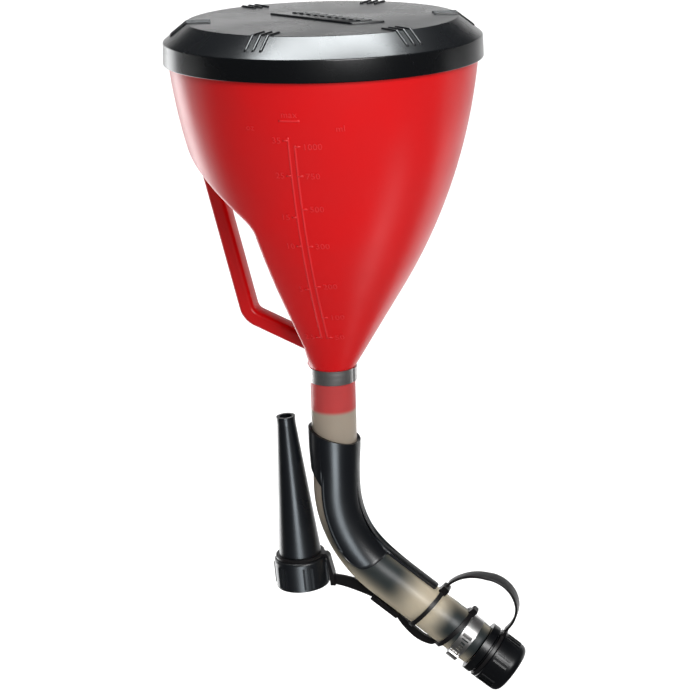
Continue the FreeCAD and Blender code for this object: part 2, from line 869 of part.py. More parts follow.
def make_guide_spine(inner, start):
    """The narrow strip that runs on along the top of the hose beyond the trough."""
    half = dim("spine_width") / 2.0
    rise = dim("spine_rise")
    shoulder = inner + rise * 0.7
    crest = inner + rise
    flat = half - OVERLAP
    spine = new_body("guide_spine")
    spine_path = hose_path(spine, "spine_line", start, dim("spine_end"))
    sweep(spine, "spine_bar", [
        (inner * 0.975, -1.0 * half),
        (shoulder, -1.0 * half),
        (crest, -1.0 * flat),
        (crest, flat),
        (shoulder, half),
        (inner * 0.975, half),
    ], spine_path, start)
    rod = new_body("guide_rod")
    rod_path = hose_path(rod, "rod_line", start + OVERLAP, dim("spine_end") + OVERLAP)
    sweep(rod, "rod_round", lambda sketch: draw_circle(sketch, inner), rod_path, start + OVERLAP)
    strip = combine("Part::Cut", "guide_strip", spine, rod)
    below_bend = doc.addObject("Part::Box", "guide_strip_range")
    set_size(below_bend, "Length", THROUGH)
    set_size(below_bend, "Width", THROUGH)
    set_size(below_bend, "Height", THROUGH)
    corner = FreeCAD.Vector(0.0, -THROUGH / 2.0, -DIMENSIONS["spine_start_depth"] - THROUGH)
    below_bend.Placement = FreeCAD.Placement(corner, FreeCAD.Rotation())
    return combine("Part::Common", "guide_strip_low", strip, below_bend)


def make_hose_guide():
    inner = dim("guide_bore")
    ring = make_guide_ring(inner, dim("guide_radius"))
    start = OVERLAP - dim("guide_chamfer_foot")
    trough = new_body("guide_trough")
    path = hose_path(trough, "trough_line", start, dim("spine_end"))
    sector = tube_sector(inner, dim("trough_radius"), dim("trough_half_angle"))
    sweep(trough, "trough_wall", sector, path, start)
    cut_trough_end(trough)
    strip = make_guide_spine(inner, start)
    return keep(combine("Part::MultiFuse", "hose_guide", ring, [trough, strip]))


def cut_trough_end(body):
    """Ends the trough with a rounded side wing, leaving only the strip on top to run on."""
    tip = (dim("wing_tip_reach"), -1.0 * dim("wing_tip_depth"))
    low = (dim("wing_low_reach"), -1.0 * dim("wing_low_depth"), dim("wing_low_bend"))
    side = (dim("wing_side_reach"), -1.0 * dim("wing_side_depth"), dim("wing_side_bend"))
    top_x = dim("wing_top_reach")
    top_z = -1.0 * dim("wing_top_depth")
    pocket(body, "trough_end", "XZ_Plane", [
        tip,
        low,
        side,
        (top_x, top_z),
        (THROUGH, top_z),
        (THROUGH, top_z - THROUGH),
        (0.0, top_z - THROUGH),
    ], THROUGH)


# ---------------------------------------------------------------- outlet fitting, cap and seal

def ridge(body, name, root, height, start, turns, inward=False):
    """A helical thread ridge of trapezoid section on a cylinder about Z."""
    sketch = new_sketch(body, "XZ_Plane", f"{name}_section")
    pitch = dim("thread_pitch")
    flank = pitch * 0.22
    flat = pitch * 0.10
    sign = -1.0 if inward else 1.0
    base = root - sign * EDGE_BREAK
    crest = root + sign * height
    draw(sketch, [
        (base, start),
        (crest, start + flank),
        (crest, start + flank + flat),
        (base, start + flank + flat + flank),
    ])
    helix = body.newObject("PartDesign::AdditiveHelix", name)
    helix.Profile = sketch
    helix.ReferenceAxis = (sketch, ["V_Axis"])
    helix.Mode = "pitch-turns-angle"
    set_size(helix, "Pitch", pitch)
    set_size(helix, "Turns", turns)
    helix.LeftHanded = False
    helix.Reversed = False
    sketch.Visibility = False
    doc.recompute()
    return helix


def make_outlet_fitting():
    start = dim("nipple_start")
    nipple = dim("nipple_radius")
    crest = dim("nipple_barb")
    root = dim("thread_root")
    flange = dim("flange_radius")
    flange_low = dim("hose_end") + dim("end_gap")
    flange_high = flange_low + dim("flange_thick")
    outline = [(dim("fitting_bore"), start), (nipple - 2.0 * EDGE_BREAK, start)]
    for barb in range(NIPPLE_BARBS):
        level = start + dim("barb_lead") + dim("barb_pitch") * float(barb)
        outline += [
            (nipple, level),
            (crest, level + dim("barb_slope")),
            (crest, level + dim("barb_slope") + dim("barb_flat")),
            (nipple, level + dim("barb_slope") + dim("barb_flat") + 0.1),
        ]
    outline += [
        (nipple, flange_low),
        (flange, flange_low),
        (flange, flange_high - EDGE_BREAK),
        (flange - EDGE_BREAK, flange_high),
        (root, flange_high),
        (root, dim("neck_end")),
        (dim("fitting_bore"), dim("neck_end")),
    ]
    body = new_body("outlet_fitting")
    revolve(body, "fitting_turned", outline)
    thread_low = flange_high + dim("male_thread_lead")
    ridge(body, "male_thread", root, dim("thread_height"), thread_low, dim("thread_turns"))
    return keep(body, outlet_place)


def make_outlet_cap():
    mouth = dim("cap_mouth")
    radius = dim("cap_radius")
    bore = dim("cap_bore")
    groove = dim("cap_groove")
    end = dim("cap_end")
    dome = dim("cap_dome")
    lip_top = mouth + 0.5
    groove_low = lip_top + 0.2
    groove_high = groove_low + dim("cap_groove_width")
    floor_level = dim("neck_end") + dim("seal_thick") + dim("end_gap")
    body = new_body("cap_shell")
    revolve(body, "cap_turned", [
        (bore, mouth),
        (dim("cap_lip"), mouth),
        (dim("cap_lip"), lip_top),
        (groove, groove_low),
        (groove, groove_high),
        (radius - 2.0 * EDGE_BREAK, groove_high),
        (radius, groove_high + 2.0 * EDGE_BREAK),
        (radius - EDGE_BREAK, end - dome - 1.0),
        (radius - dome, end - 0.5, dome + 0.6),
        (0.0, end),
        (0.0, floor_level),
        (bore, floor_level),
    ])
    ridge(body, "female_thread", bore, dim("thread_height"), mouth + dim("female_thread_lead"),
          dim("cap_thread_turns"), inward=True)
    rib_low = groove_high + dim("cap_rib_gap")
    ribs = rib_groups("cap", radius, rib_low, end - dome - 2.4)
    return keep(combine("Part::MultiFuse", "outlet_cap", body, ribs), outlet_place)


def rib_groups(name, radius, low, high):
    """Three fine ribs side by side, every sixty degrees, along a round grip."""
    ribs = []
    root = 1.4
    rise = DIMENSIONS["cap_rib_rise"]
    for group in range(RIB_GROUPS):
        angle = group * FULL_TURN / RIB_GROUPS
        for rib in range(RIBS_IN_GROUP):
            side = (rib - 1) * DIMENSIONS["cap_rib_spacing"]
            sink = number(radius) - math.sqrt(number(radius) ** 2 - side ** 2)
            bar = doc.addObject("Part::Box", f"{name}_rib_{group}_{rib}")
            set_size(bar, "Length", root + rise)
            set_size(bar, "Width", dim("cap_rib_width"))
            set_size(bar, "Height", high - low)
            turned = FreeCAD.Rotation(FreeCAD.Vector(0, 0, 1), angle)
            near = number(radius) - sink - root
            start = FreeCAD.Vector(near, side - DIMENSIONS["cap_rib_width"] / 2.0, number(low))
            bar.Placement = FreeCAD.Placement(turned.multVec(start), turned)
            ribs.append(bar)
    return ribs


def make_washer(name, low, place):
    """A flat ring seal."""
    inner = dim("seal_bore")
    outer = dim("seal_radius")
    high = low + dim("seal_thick")
    body = new_body(name)
    revolve(body, f"{name}_turned", [(inner, low), (outer, low), (outer, high), (inner, high)])
    return keep(body, place)


# ---------------------------------------------------------------- cap tether

def loop_place(where, tilt):
    """Frame of a loop that hangs a little askew round the hose."""
    along = FreeCAD.Placement(FreeCAD.Vector(0, 0, DIMENSIONS[where]), FreeCAD.Rotation())
    lean = FreeCAD.Placement(FreeCAD.Vector(), FreeCAD.Rotation(FreeCAD.Vector(0, 1, 0), -DIMENSIONS[tilt]))
    return outlet_place * along * lean


def make_loop(name, head):
    """A hoop round the hose with a small head on top; head names the rows with the head's sizes."""
    inner = dim("hose_loop_bore")
    outer = inner + dim("ring_thick")
    half = dim("ring_width") / 2.0
    body = new_body(name)
    revolve(body, f"{name}_hoop", [(inner, -1.0 * half), (outer, -1.0 * half), (outer, half), (inner, half)])
    low = inner + EDGE_BREAK
    high = inner + dim(f"{head}_rise")
    end = dim(f"{head}_length") / 2.0
    corner = dim("head_corner")
    pad(body, f"{name}_head", "XZ_Plane", [
        (low, -1.0 * end),
        (high - corner, -1.0 * end),
        (high, corner - end),
        (high, end - corner),
        (high - corner, end),
        (low, end),
    ], dim(f"{head}_width"))
    return body


def make_cap_neck_ring():
    """The ring that turns in the cap's groove, with the lug the strap is moulded to."""
    ring = new_body("cap_neck_ring")
    low = dim("cap_mouth") + dim("neck_ring_lead")
    high = low + dim("neck_ring_width")
    inner = dim("cap_groove") + dim("neck_ring_play")
    outer = dim("cap_radius") - 0.1
    revolve(ring, "neck_ring_turned", [(inner, low), (outer, low), (outer, high), (inner, high)])
    lug_start = inner + dim("neck_ring_play") * 10.0
    lug_end = inner + dim("lug_reach")
    pad(ring, "neck_ring_lug", "XZ_Plane", [
        (lug_start, low + 0.1),
        (lug_end, low + 0.1),
        (lug_end, high - 0.1),
        (lug_start, high - 0.1),
    ], dim("lug_width"))
    return keep(ring, outlet_place)


def make_cap_strap():
    """The flat strap, arched from the loop on the hose over to the cap's ring."""
    thick = dim("strap_thick")
    left = dim("arch_left_bend")
    right = dim("arch_right_bend")
    last = dim("arch_last_bend")
    start_x = dim("arch_start_reach")
    start_z = -1.0 * dim("arch_start_depth")
    crown_x = dim("arch_crown_reach")
    crown_z = -1.0 * dim("arch_crown_depth")
    end_x = dim("arch_end_reach")
    end_z = -1.0 * dim("arch_end_depth")
    side_x = crown_x + right
    side_z = crown_z - right
    strap = new_body("cap_strap")
    pad(strap, "strap_side", "XZ_Plane", [
        (start_x, start_z),
        (crown_x, crown_z, -1.0 * left),
        (side_x, side_z, -1.0 * right),
        (end_x, end_z, -1.0 * last),
        (end_x - thick * 0.9, end_z + thick * 0.4),
        (side_x - thick, side_z + 0.2, last - thick),
        (crown_x, crown_z - thick, right - thick),
        (start_x + thick * 0.6, start_z - thick * 0.9, left - thick),
    ], dim("strap_width"))
    return keep(strap)


def make_cap_tether():
    loop = make_loop("cap_hose_loop", "cap_head")
    keep(loop, loop_place("cap_loop_place", "cap_loop_tilt"))
    make_cap_neck_ring()
    make_cap_strap()


# ---------------------------------------------------------------- nozzle and its tether

def make_nozzle():
    wall = dim("nozzle_wall")
    collar = dim("nozzle_collar")
    height = dim("nozzle_collar_height")
    neck = dim("nozzle_neck") - 0.2
    bead = dim("nozzle_neck") + 0.2
    bead_low = height + dim("nozzle_groove_width")
    tip = dim("nozzle_tip_radius")
    lip = tip + dim("nozzle_lip")
    length = dim("nozzle_length")
    lip_low = length - 2.0 * EDGE_BREAK
    land = length - dim("nozzle_land")
    shelf = height - wall
    bore = dim("cap_bore")
    round_off = dim("nozzle_collar_round")
    body = new_body("nozzle_shell")
    revolve(body, "nozzle_turned", [
        (bore, 0.0),
        (collar - EDGE_BREAK, 0.0),
        (collar, EDGE_BREAK),
        (collar, height - round_off),
        (collar - round_off, height, round_off + 0.1),
        (neck, height),
        (neck, bead_low),
        (bead, bead_low + 0.4),
        (bead - 0.1, bead_low + 1.2),
        (tip, land),
        (tip, lip_low - 0.2),
        (lip, lip_low),
        (lip, length),
        (tip - wall, length),
        (tip - wall, land),
        (neck - wall, bead_low + 0.9),
        (neck - wall, shelf),
        (bore, shelf),
    ])
    rib_low = dim("nozzle_rib_lead")
    ribs = rib_groups("nozzle", collar, rib_low, height - round_off - 1.7)
    return keep(combine("Part::MultiFuse", "nozzle", body, ribs), nozzle_place)


def make_nozzle_neck_ring():
    """The ring on the nozzle's neck and the arm that comes down beside the collar."""
    inner = dim("nozzle_neck") - 0.12
    ring_outer = dim("nozzle_collar") - 1.2
    arm = dim("nozzle_collar") + dim("arm_gap")
    thick = dim("nozzle_ring_thick")
    low = dim("nozzle_collar_height") + 0.15
    high = low + thick
    foot = low - dim("arm_drop")
    waist = low - dim("arm_drop") * 0.6
    ring = new_body("nozzle_neck_ring")
    revolve(ring, "nozzle_ring_turned", [(inner, low), (ring_outer, low), (ring_outer, high), (inner, high)])
    pad(ring, "nozzle_ring_arm", "XZ_Plane", [
        (ring_outer - 0.4, low),
        (ring_outer - 0.4, high),
        (arm - 0.6, high),
        (arm + 1.2, high - 3.0, -1.0 * dim("arm_bend")),
        (arm + dim("arm_thick"), waist),
        (arm + dim("arm_thick") + 0.6, foot),
        (arm + 0.6, foot),
        (arm + 0.1, high - 2.9),
        (arm - 1.0, low),
    ], dim("arm_width"))
    return keep(ring, nozzle_place)


def make_nozzle_strap():
    """The upright web between the nozzle's arm and the loop on the hose."""
    near_x = dim("web_near_reach")
    far_x = dim("web_far_reach")
    top_z = -1.0 * dim("web_top_depth")
    far_z = -1.0 * dim("web_far_depth")
    strap = new_body("nozzle_strap")
    pad(strap, "nozzle_strap_side", "XZ_Plane", [
        (-1.0 * near_x, top_z),
        (dim("web_level_reach"), top_z),
        (far_x, far_z, dim("web_bend")),
        (far_x - 1.0, far_z - 1.4),
        (far_x - 2.8, far_z - 0.2),
        (0.5 - near_x, top_z - dim("web_height")),
    ], dim("web_thick"))
    return keep(strap)


def make_nozzle_hose_loop():
    """Hoop, pad and bow that hold the nozzle's strap to the hose."""
    loop = make_loop("nozzle_loop_hoop", "nozzle_head")
    loop.Placement = loop_place("nozzle_loop_place", "nozzle_loop_tilt")
    gap = dim("hose_radius") + dim("pad_gap")
    pad_low = dim("pad_start")
    pad_high = dim("pad_end")
    under = gap + dim("pad_thick")
    band = new_body("nozzle_loop_band")
    pad(band, "pad_side", "XZ_Plane", [
        (-1.0 * gap, pad_low),
        (-1.0 * under, pad_low),
        (-1.0 * under, pad_high),
        (-1.0 * gap, pad_high),
    ], dim("pad_width"))
    bow_end = dim("nozzle_loop_place")
    bow_x = -1.0 * dim("bow_reach")
    bow = new_body("nozzle_loop_bow")
    pad(bow, "bow_side", "XZ_Plane", [
        (-1.0 * gap - EDGE_BREAK, pad_high - 1.5),
        (-1.0 * under, pad_high - 1.5),
        (bow_x, bow_end - 14.6, -1.0 * dim("bow_outer_bend")),
        (bow_x + 2.6, bow_end - 3.6, -1.0 * dim("bow_end_bend")),
        (bow_x + 6.1, bow_end - 1.4),
        (bow_x + 6.5, bow_end - 3.8),
        (bow_x + 4.6, bow_end - 13.2, dim("bow_inner_bend")),
        (bow_x + 4.8, bow_end - 20.7),
    ], dim("bow_width"))
    for piece in (band, bow):
        piece.Placement = outlet_place
    return keep(combine("Part::MultiFuse", "nozzle_hose_loop", loop, [band, bow]))


def make_nozzle_tether():
    make_nozzle_neck_ring()
    make_nozzle_strap()
    make_nozzle_hose_loop()


def main():
    make_funnel_body()
    make_lid()
    make_hose()
    make_upper_clamp()
    make_lower_clamp()
    make_hose_guide()
    make_outlet_fitting()
    make_outlet_cap()
    make_washer("cap_seal", dim("neck_end") + dim("seal_gap"), outlet_place)
    make_cap_tether()
    make_nozzle()
    collar_roof = dim("nozzle_collar_height") - dim("nozzle_wall")
    make_washer("nozzle_seal", collar_roof - dim("seal_thick") - dim("seal_gap"), nozzle_place)
    make_nozzle_tether()


main()
doc.recompute()
for item in doc.Objects:
    if "Invalid" in item.State or "Error" in item.State:
        print("BAD STATE", item.Name, item.State)
os.makedirs("parts", exist_ok=True)
for item in parts:
    shape = item.Shape
    print(item.Label, "valid", shape.isValid(), "volume", round(shape.Volume, 1), "solids", len(shape.Solids))
    shape.exportStep(f"parts/{item.Label}.step")
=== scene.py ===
import math
import bmesh
import bpy
from mathutils import Matrix, Vector


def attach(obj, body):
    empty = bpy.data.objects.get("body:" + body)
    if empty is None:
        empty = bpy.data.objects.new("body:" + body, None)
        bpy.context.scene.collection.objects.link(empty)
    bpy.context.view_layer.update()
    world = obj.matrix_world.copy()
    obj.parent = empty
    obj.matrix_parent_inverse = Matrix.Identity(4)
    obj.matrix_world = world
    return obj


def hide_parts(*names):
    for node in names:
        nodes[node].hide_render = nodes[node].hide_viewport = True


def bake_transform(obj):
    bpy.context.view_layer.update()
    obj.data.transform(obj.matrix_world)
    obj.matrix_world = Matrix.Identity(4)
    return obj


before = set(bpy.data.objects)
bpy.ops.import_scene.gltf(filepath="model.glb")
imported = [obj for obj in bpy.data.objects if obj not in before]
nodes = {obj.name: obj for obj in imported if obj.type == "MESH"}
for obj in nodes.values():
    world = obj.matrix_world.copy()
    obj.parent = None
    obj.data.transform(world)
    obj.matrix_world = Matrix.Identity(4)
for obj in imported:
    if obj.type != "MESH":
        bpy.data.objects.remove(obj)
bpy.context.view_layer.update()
MM = 0.001
AROUND = 256    # points round the bowl and the lid


# ---------------------------------------------------------------- shared sizes (mm)

CORNER = -268.8                       # height where the hose's two straight lines would meet
BEND = 62.0                           # radius of the hose's centre line in its bend
TURN = math.radians(54.0)
REACH = BEND * math.tan(TURN / 2.0)
BEND_TOP = CORNER + REACH
ALONG = Vector((math.sin(TURN), 0.0, -math.cos(TURN)))
INSIDE = Vector((math.cos(TURN), 0.0, math.sin(TURN)))
OUTLET = Matrix.Translation(Vector((0.0, 0.0, CORNER))) @ Matrix((
    (INSIDE.x, 0.0, ALONG.x, 0.0),
    (0.0, 1.0, 0.0, 0.0),
    (INSIDE.z, 0.0, ALONG.z, 0.0),
    (0.0, 0.0, 0.0, 1.0),
))


# ---------------------------------------------------------------- materials

NOISE_LOW, NOISE_HIGH = 0.3, 0.7      # most of the noise lies between these

# Where the hose's colour changes, metres along the outlet's line from its corner: its painted shade, and its
# painted light further down.
WING_SHADE_FROM, WING_SHADE_TO = (-0.020, 0.005), (0.036, 0.056)
FITTING_SHADE_FROM = (0.064, 0.076)
PAINTED_LIGHT_FROM = (-0.030, 0.030)
# And metres out from the outlet's line towards each flank, where the painted shade lies, and up from the
# rim's plane, for the spout's red painted on the hose above that height.
FLANK_FROM = (0.0025, 0.0112)
FLANK_LEAN = math.radians(58.67)
SPOUT_SHOW_THROUGH_FROM = (-0.1952, -0.1925)


def new_material(name):
    material = bpy.data.materials.new(name)
    material.use_nodes = True
    tree = material.node_tree
    return material, tree, tree.nodes["Principled BSDF"]


def noise(tree, scale, detail, stretch=None):
    make = tree.nodes.new
    place = make("ShaderNodeTexCoord")
    cloud = make("ShaderNodeTexNoise")
    cloud.inputs["Scale"].default_value = scale
    cloud.inputs["Detail"].default_value = detail
    if stretch:
        mapping = make("ShaderNodeMapping")
        mapping.inputs["Scale"].default_value = stretch
        tree.links.new(place.outputs["Object"], mapping.inputs["Vector"])
        tree.links.new(mapping.outputs["Vector"], cloud.inputs["Vector"])
    else:
        tree.links.new(place.outputs["Object"], cloud.inputs["Vector"])
    return cloud.outputs["Fac"]


def remap(tree, source, low, high):
    shift = tree.nodes.new("ShaderNodeMapRange")
    shift.inputs["From Min"].default_value = NOISE_LOW
    shift.inputs["From Max"].default_value = NOISE_HIGH
    shift.inputs["To Min"].default_value = low
    shift.inputs["To Max"].default_value = high
    tree.links.new(source, shift.inputs["Value"])
    return shift.outputs["Result"]


def mix_color(tree, share, first, second):
    """Goes from the first colour to the second as share goes from 0 to 1. Either may be an output."""
    mix = tree.nodes.new("ShaderNodeMix")
    mix.data_type = "RGBA"
    for name, color in (("A", first), ("B", second)):
        if isinstance(color, tuple):
            mix.inputs[name].default_value = (*color, 1.0)
        else:
            tree.links.new(color, mix.inputs[name])
    tree.links.new(share, mix.inputs["Factor"])
    return mix.outputs["Result"]


def add_bump(tree, shader, source, depth, strength=0.4):
    bump = tree.nodes.new("ShaderNodeBump")
    bump.inputs["Strength"].default_value = strength
    bump.inputs["Distance"].default_value = depth
    tree.links.new(source, bump.inputs["Height"])
    tree.links.new(bump.outputs["Normal"], shader.inputs["Normal"])


def plastic(name, color, rough, spread, grain, depth, specular=0.5, shade=0.84):
    """A moulded plastic with cloudy colour and gloss, and a fine grain whose depth is in metres."""
    material, tree, shader = new_material(name)
    cloud = noise(tree, 28.0, 4.0)
    tree.links.new(remap(tree, cloud, rough - spread, rough + spread), shader.inputs["Roughness"])
    darker = tuple(value * shade for value in color)
    tree.links.new(mix_color(tree, cloud, color, darker), shader.inputs["Base Color"])
    add_bump(tree, shader, noise(tree, grain, 3.0), depth)
    shader.inputs["Specular IOR Level"].default_value = specular
    return material


def along(tree, direction, span, zero=0.0):
    """0 to 1 over a span of distances (metres), counted from zero, along a direction through the origin."""
    place = tree.nodes.new("ShaderNodeTexCoord")
    line = tree.nodes.new("ShaderNodeVectorMath")
    line.operation = "DOT_PRODUCT"
    line.inputs[1].default_value = direction
    tree.links.new(place.outputs["Object"], line.inputs[0])
    share = tree.nodes.new("ShaderNodeMapRange")
    share.interpolation_type = "SMOOTHSTEP"
    share.inputs["From Min"].default_value = zero + span[0]
    share.inputs["From Max"].default_value = zero + span[1]
    tree.links.new(line.outputs["Value"], share.inputs["Value"])
    return share.outputs["Result"]


def combine(tree, operation, first, second):
    node = tree.nodes.new("ShaderNodeMath")
    node.operation = operation
    tree.links.new(first, node.inputs[0])
    tree.links.new(second, node.inputs[1])
    return node.outputs["Value"]


def vinyl_painted_light_and_shade():
    """Vinyl, as it looks with what lies inside it, that look painted into its colour.

    It is pale along its top and bottom, brighter further down the outlet (painted light), grey on its flanks
    beyond the guide's wings and over the fitting (painted shade), and red where it sits on the spout (the
    spout's red painted on).
    """
    material, tree, shader = new_material("vinyl_painted_light_and_shade")
    cloud = noise(tree, 70.0, 3.0)
    tree.links.new(remap(tree, cloud, 0.34, 0.44), shader.inputs["Roughness"])
    pale = mix_color(tree, cloud, (0.62, 0.535, 0.43), (0.56, 0.48, 0.385))
    # Painted shade: the dark inside of the hose and the dark fitting, as seen through its wall.
    painted_shade = mix_color(tree, cloud, (0.052, 0.066, 0.068), (0.042, 0.054, 0.057))
    # Painted light: a brighter beige where light comes through the hose further down the outlet.
    painted_light = mix_color(tree, cloud, (0.86, 0.77, 0.60), (0.80, 0.71, 0.54))
    corner = CORNER * MM * ALONG.z
    begun, ended = (along(tree, ALONG, span, corner) for span in (WING_SHADE_FROM, WING_SHADE_TO))
    by_wings = combine(tree, "SUBTRACT", begun, ended)
    dark = combine(tree, "MAXIMUM", by_wings, along(tree, ALONG, FITTING_SHADE_FROM, corner))
    flanks = []
    for side in (-1.0, 1.0):
        outward = INSIDE * math.cos(FLANK_LEAN) + Vector((0.0, side * math.sin(FLANK_LEAN), 0.0))
        flanks.append(along(tree, outward, FLANK_FROM, CORNER * MM * outward.z))
    shade_share = combine(tree, "MULTIPLY", dark, combine(tree, "MAXIMUM", *flanks))
    clear = mix_color(tree, along(tree, ALONG, PAINTED_LIGHT_FROM, corner), pale, painted_light)
    body = mix_color(tree, shade_share, clear, painted_shade)
    # Painted light: the spout's red, as seen through the hose, painted on from this height up.
    spout_show_through = along(tree, (0.0, 0.0, 1.0), SPOUT_SHOW_THROUGH_FROM)
    tree.links.new(mix_color(tree, spout_show_through, body, (0.80, 0.09, 0.09)), shader.inputs["Base Color"])
    add_bump(tree, shader, noise(tree, 260.0, 2.0), 0.00004, 0.3)
    shader.inputs["Transmission Weight"].default_value = 0.45
    shader.inputs["IOR"].default_value = 1.40
    return material


def steel():
    """Bright steel strip with fine level streaks."""
    material, tree, shader = new_material("band_steel")
    streak = noise(tree, 1.0, 4.0, (60.0, 60.0, 2600.0))
    tree.links.new(remap(tree, streak, 0.28, 0.46), shader.inputs["Roughness"])
    greys = mix_color(tree, streak, (0.80, 0.79, 0.78), (0.62, 0.61, 0.61))
    tree.links.new(greys, shader.inputs["Base Color"])
    add_bump(tree, shader, streak, 0.00002, 0.3)
    shader.inputs["Metallic"].default_value = 1.0
    return material


RED = plastic("red_moulding", (0.70, 0.003, 0.005), 0.33, 0.04, 1500.0, 0.00002, specular=0.38)
# The marks get a lighter copy of the bowl's red: a painted highlight on the raised marks.
MARK_RED_PAINTED_HIGHLIGHT = plastic("red_mark_painted_highlight", (0.80, 0.025, 0.03), 0.34, 0.04, 1500.0, 0.00002)
LID_BLACK = plastic("lid_black", (0.0030, 0.0036, 0.0046), 0.27, 0.04, 1300.0, 0.00003)
BLACK = plastic("moulded_black", (0.0036, 0.0042, 0.0056), 0.32, 0.05, 1500.0, 0.00003)
SOFT_BLACK = plastic("soft_black", (0.009, 0.008, 0.009), 0.40, 0.06, 1300.0, 0.00003)
SEAL = plastic("seal_black", (0.02, 0.02, 0.02), 0.6, 0.08, 900.0, 0.00004)
PAPER = plastic("paper", (0.93, 0.93, 0.93), 0.88, 0.03, 900.0, 0.00002, specular=0.2, shade=0.98)
VINYL = vinyl_painted_light_and_shade()
STEEL = steel()

MATERIAL_OF = {
    "funnel_body": RED, "lid": LID_BLACK, "upper_hose_clamp": STEEL, "lower_hose_clamp": STEEL,
    "hose": VINYL, "hose_guide": BLACK, "outlet_fitting": BLACK, "outlet_cap": BLACK, "cap_seal": SEAL,
    "cap_neck_ring": SOFT_BLACK, "cap_strap": SOFT_BLACK, "cap_hose_loop": SOFT_BLACK, "nozzle": BLACK,
    "nozzle_seal": SEAL, "nozzle_neck_ring": SOFT_BLACK, "nozzle_strap": SOFT_BLACK,
    "nozzle_hose_loop": SOFT_BLACK,
}


# ---------------------------------------------------------------- mesh tools

def make_object(name, points, faces, material, body):
    """A smooth-shaded mesh from points in millimetres, riding on a CAD body."""
    mesh = bpy.data.meshes.new(name)
    mesh.from_pydata([tuple(c * MM for c in p) for p in points], [], faces)
    tidy = bmesh.new()
    tidy.from_mesh(mesh)
    bmesh.ops.remove_doubles(tidy, verts=tidy.verts, dist=1e-6)
    bmesh.ops.recalc_face_normals(tidy, faces=tidy.faces)
    tidy.to_mesh(mesh)
    tidy.free()
    mesh.polygons.foreach_set("use_smooth", [True] * len(mesh.polygons))
    mesh.materials.append(material)
    piece = bpy.data.objects.new(name, mesh)
    bpy.context.scene.collection.objects.link(piece)
    if body:
        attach(piece, body)
    return piece


def sharpen(piece, angle=35.0):
    """Splits the shading where faces meet at more than this angle."""
    piece.data.set_sharp_from_angle(angle=math.radians(angle))
    return piece


def soften_edges(piece, width, segments=3, angle=35.0):
    bevel = piece.modifiers.new("soft_edges", "BEVEL")
    bevel.width = width * MM
    bevel.segments = segments
    bevel.limit_method = "ANGLE"
    bevel.angle_limit = math.radians(angle)
    bevel.harden_normals = True
    return piece


def skin(rings, loop_rings=True, loop_points=True):
    """Points and faces of a surface through rings that all have the same number of points."""
    count = len(rings[0])
    points = [p for ring in rings for p in ring]
    faces = []
    for i in range(len(rings) if loop_rings else len(rings) - 1):
        j = (i + 1) % len(rings)
        for k in range(count if loop_points else count - 1):
            m = (k + 1) % count
            faces.append((i * count + k, i * count + m, j * count + m, j * count + k))
    return points, faces


def rounded(points, closed=True, steps=5):
    """A 2-D outline whose corners (x, y, radius) are replaced by arcs."""
    out = []
    count = len(points)
    for i, point in enumerate(points):
        here = Vector(point[:2])
        radius = point[2] if len(point) > 2 else 0.0
        if radius <= 0.0 or (not closed and i in (0, count - 1)):
            out.append(tuple(here))
            continue
        before = (Vector(points[i - 1][:2]) - here).normalized()
        after = (Vector(points[(i + 1) % count][:2]) - here).normalized()
        half = before.angle(after) / 2.0
        start = here + before * (radius / math.tan(half))
        centre = here + (before + after).normalized() * (radius / math.sin(half))
        finish = here + after * (radius / math.tan(half))
        first = start - centre
        sweep = first.angle(finish - centre)
        side = 1.0 if first.cross(finish - centre) > 0 else -1.0
        for step in range(steps + 1):
            turn = side * sweep * step / steps
            arm = Vector((
                first.x * math.cos(turn) - first.y * math.sin(turn),
                first.x * math.sin(turn) + first.y * math.cos(turn),
            ))
            out.append(tuple(centre + arm))
    return out


def circle(radius, height, count=AROUND):
    """Points round the Z axis. radius is a number, or a function of the height and the angle."""
    points = []
    for k in range(count):
        angle = 2.0 * math.pi * k / count
        reach = radius(height, angle) if callable(radius) else radius
        points.append(Vector((reach * math.cos(angle), reach * math.sin(angle), height)))
    return points


def end_caps(points, count):
    """The faces that close the first and last rings, each of count points."""
    return [tuple(range(count)), tuple(range(len(points) - count, len(points)))]


def joined(shapes):
    """Puts several (points, faces) into one."""
    points, faces = [], []
    for more, skins in shapes:
        faces += [tuple(i + len(points) for i in face) for face in skins]
        points += more
    return points, faces


def box_outline(wide, high, corner, steps=4):
    a, b = wide / 2.0, high / 2.0
    return rounded([(-a, -b, corner), (a, -b, corner), (a, b, corner), (-a, b, corner)], steps=steps)


def sweep_flat(name, path, section, material, body, sizes=None):
    """Sweeps a section along a path in the XZ plane. Section x lies across the path in that plane, y along Y.

    sizes gives (thickness scale, width scale) for each path point.
    """
    rings = []
    for i, point in enumerate(path):
        before = Vector(path[max(i - 1, 0)])
        after = Vector(path[min(i + 1, len(path) - 1)])
        along = (after - before).normalized()
        across = Vector((-along.y, along.x))
        thick, wide = sizes[i] if sizes else (1.0, 1.0)
        ring = []
        for u, v in section:
            ring.append(Vector((point[0] + across.x * u * thick, v * wide, point[1] + across.y * u * thick)))
        rings.append(ring)
    points, faces = skin(rings, loop_rings=False)
    return make_object(name, points, faces + end_caps(points, len(section)), material, body)


def arc_points(start, end, radius, steps=16):
    """Points on the shorter arc from start to end. Positive radius turns left."""
    a, b = Vector(start), Vector(end)
    chord = b - a
    height = math.sqrt(max(radius * radius - chord.length_squared / 4.0, 0.0))
    side = Vector((-chord.y, chord.x)).normalized() * (1.0 if radius > 0 else -1.0)
    centre = (a + b) / 2.0 + side * height
    first, last = a - centre, b - centre
    turn = first.angle(last) * (1.0 if radius > 0 else -1.0)
    out = []
    for i in range(steps + 1):
        t = turn * i / steps
        out.append(tuple(centre + Vector((
            first.x * math.cos(t) - first.y * math.sin(t),
            first.x * math.sin(t) + first.y * math.cos(t),
        ))))
    return out


def blend_value(low, high, x):
    t = min(max((x - low) / (high - low), 0.0), 1.0)
    return t * t * (3.0 - 2.0 * t)


# ---------------------------------------------------------------- the hose's line

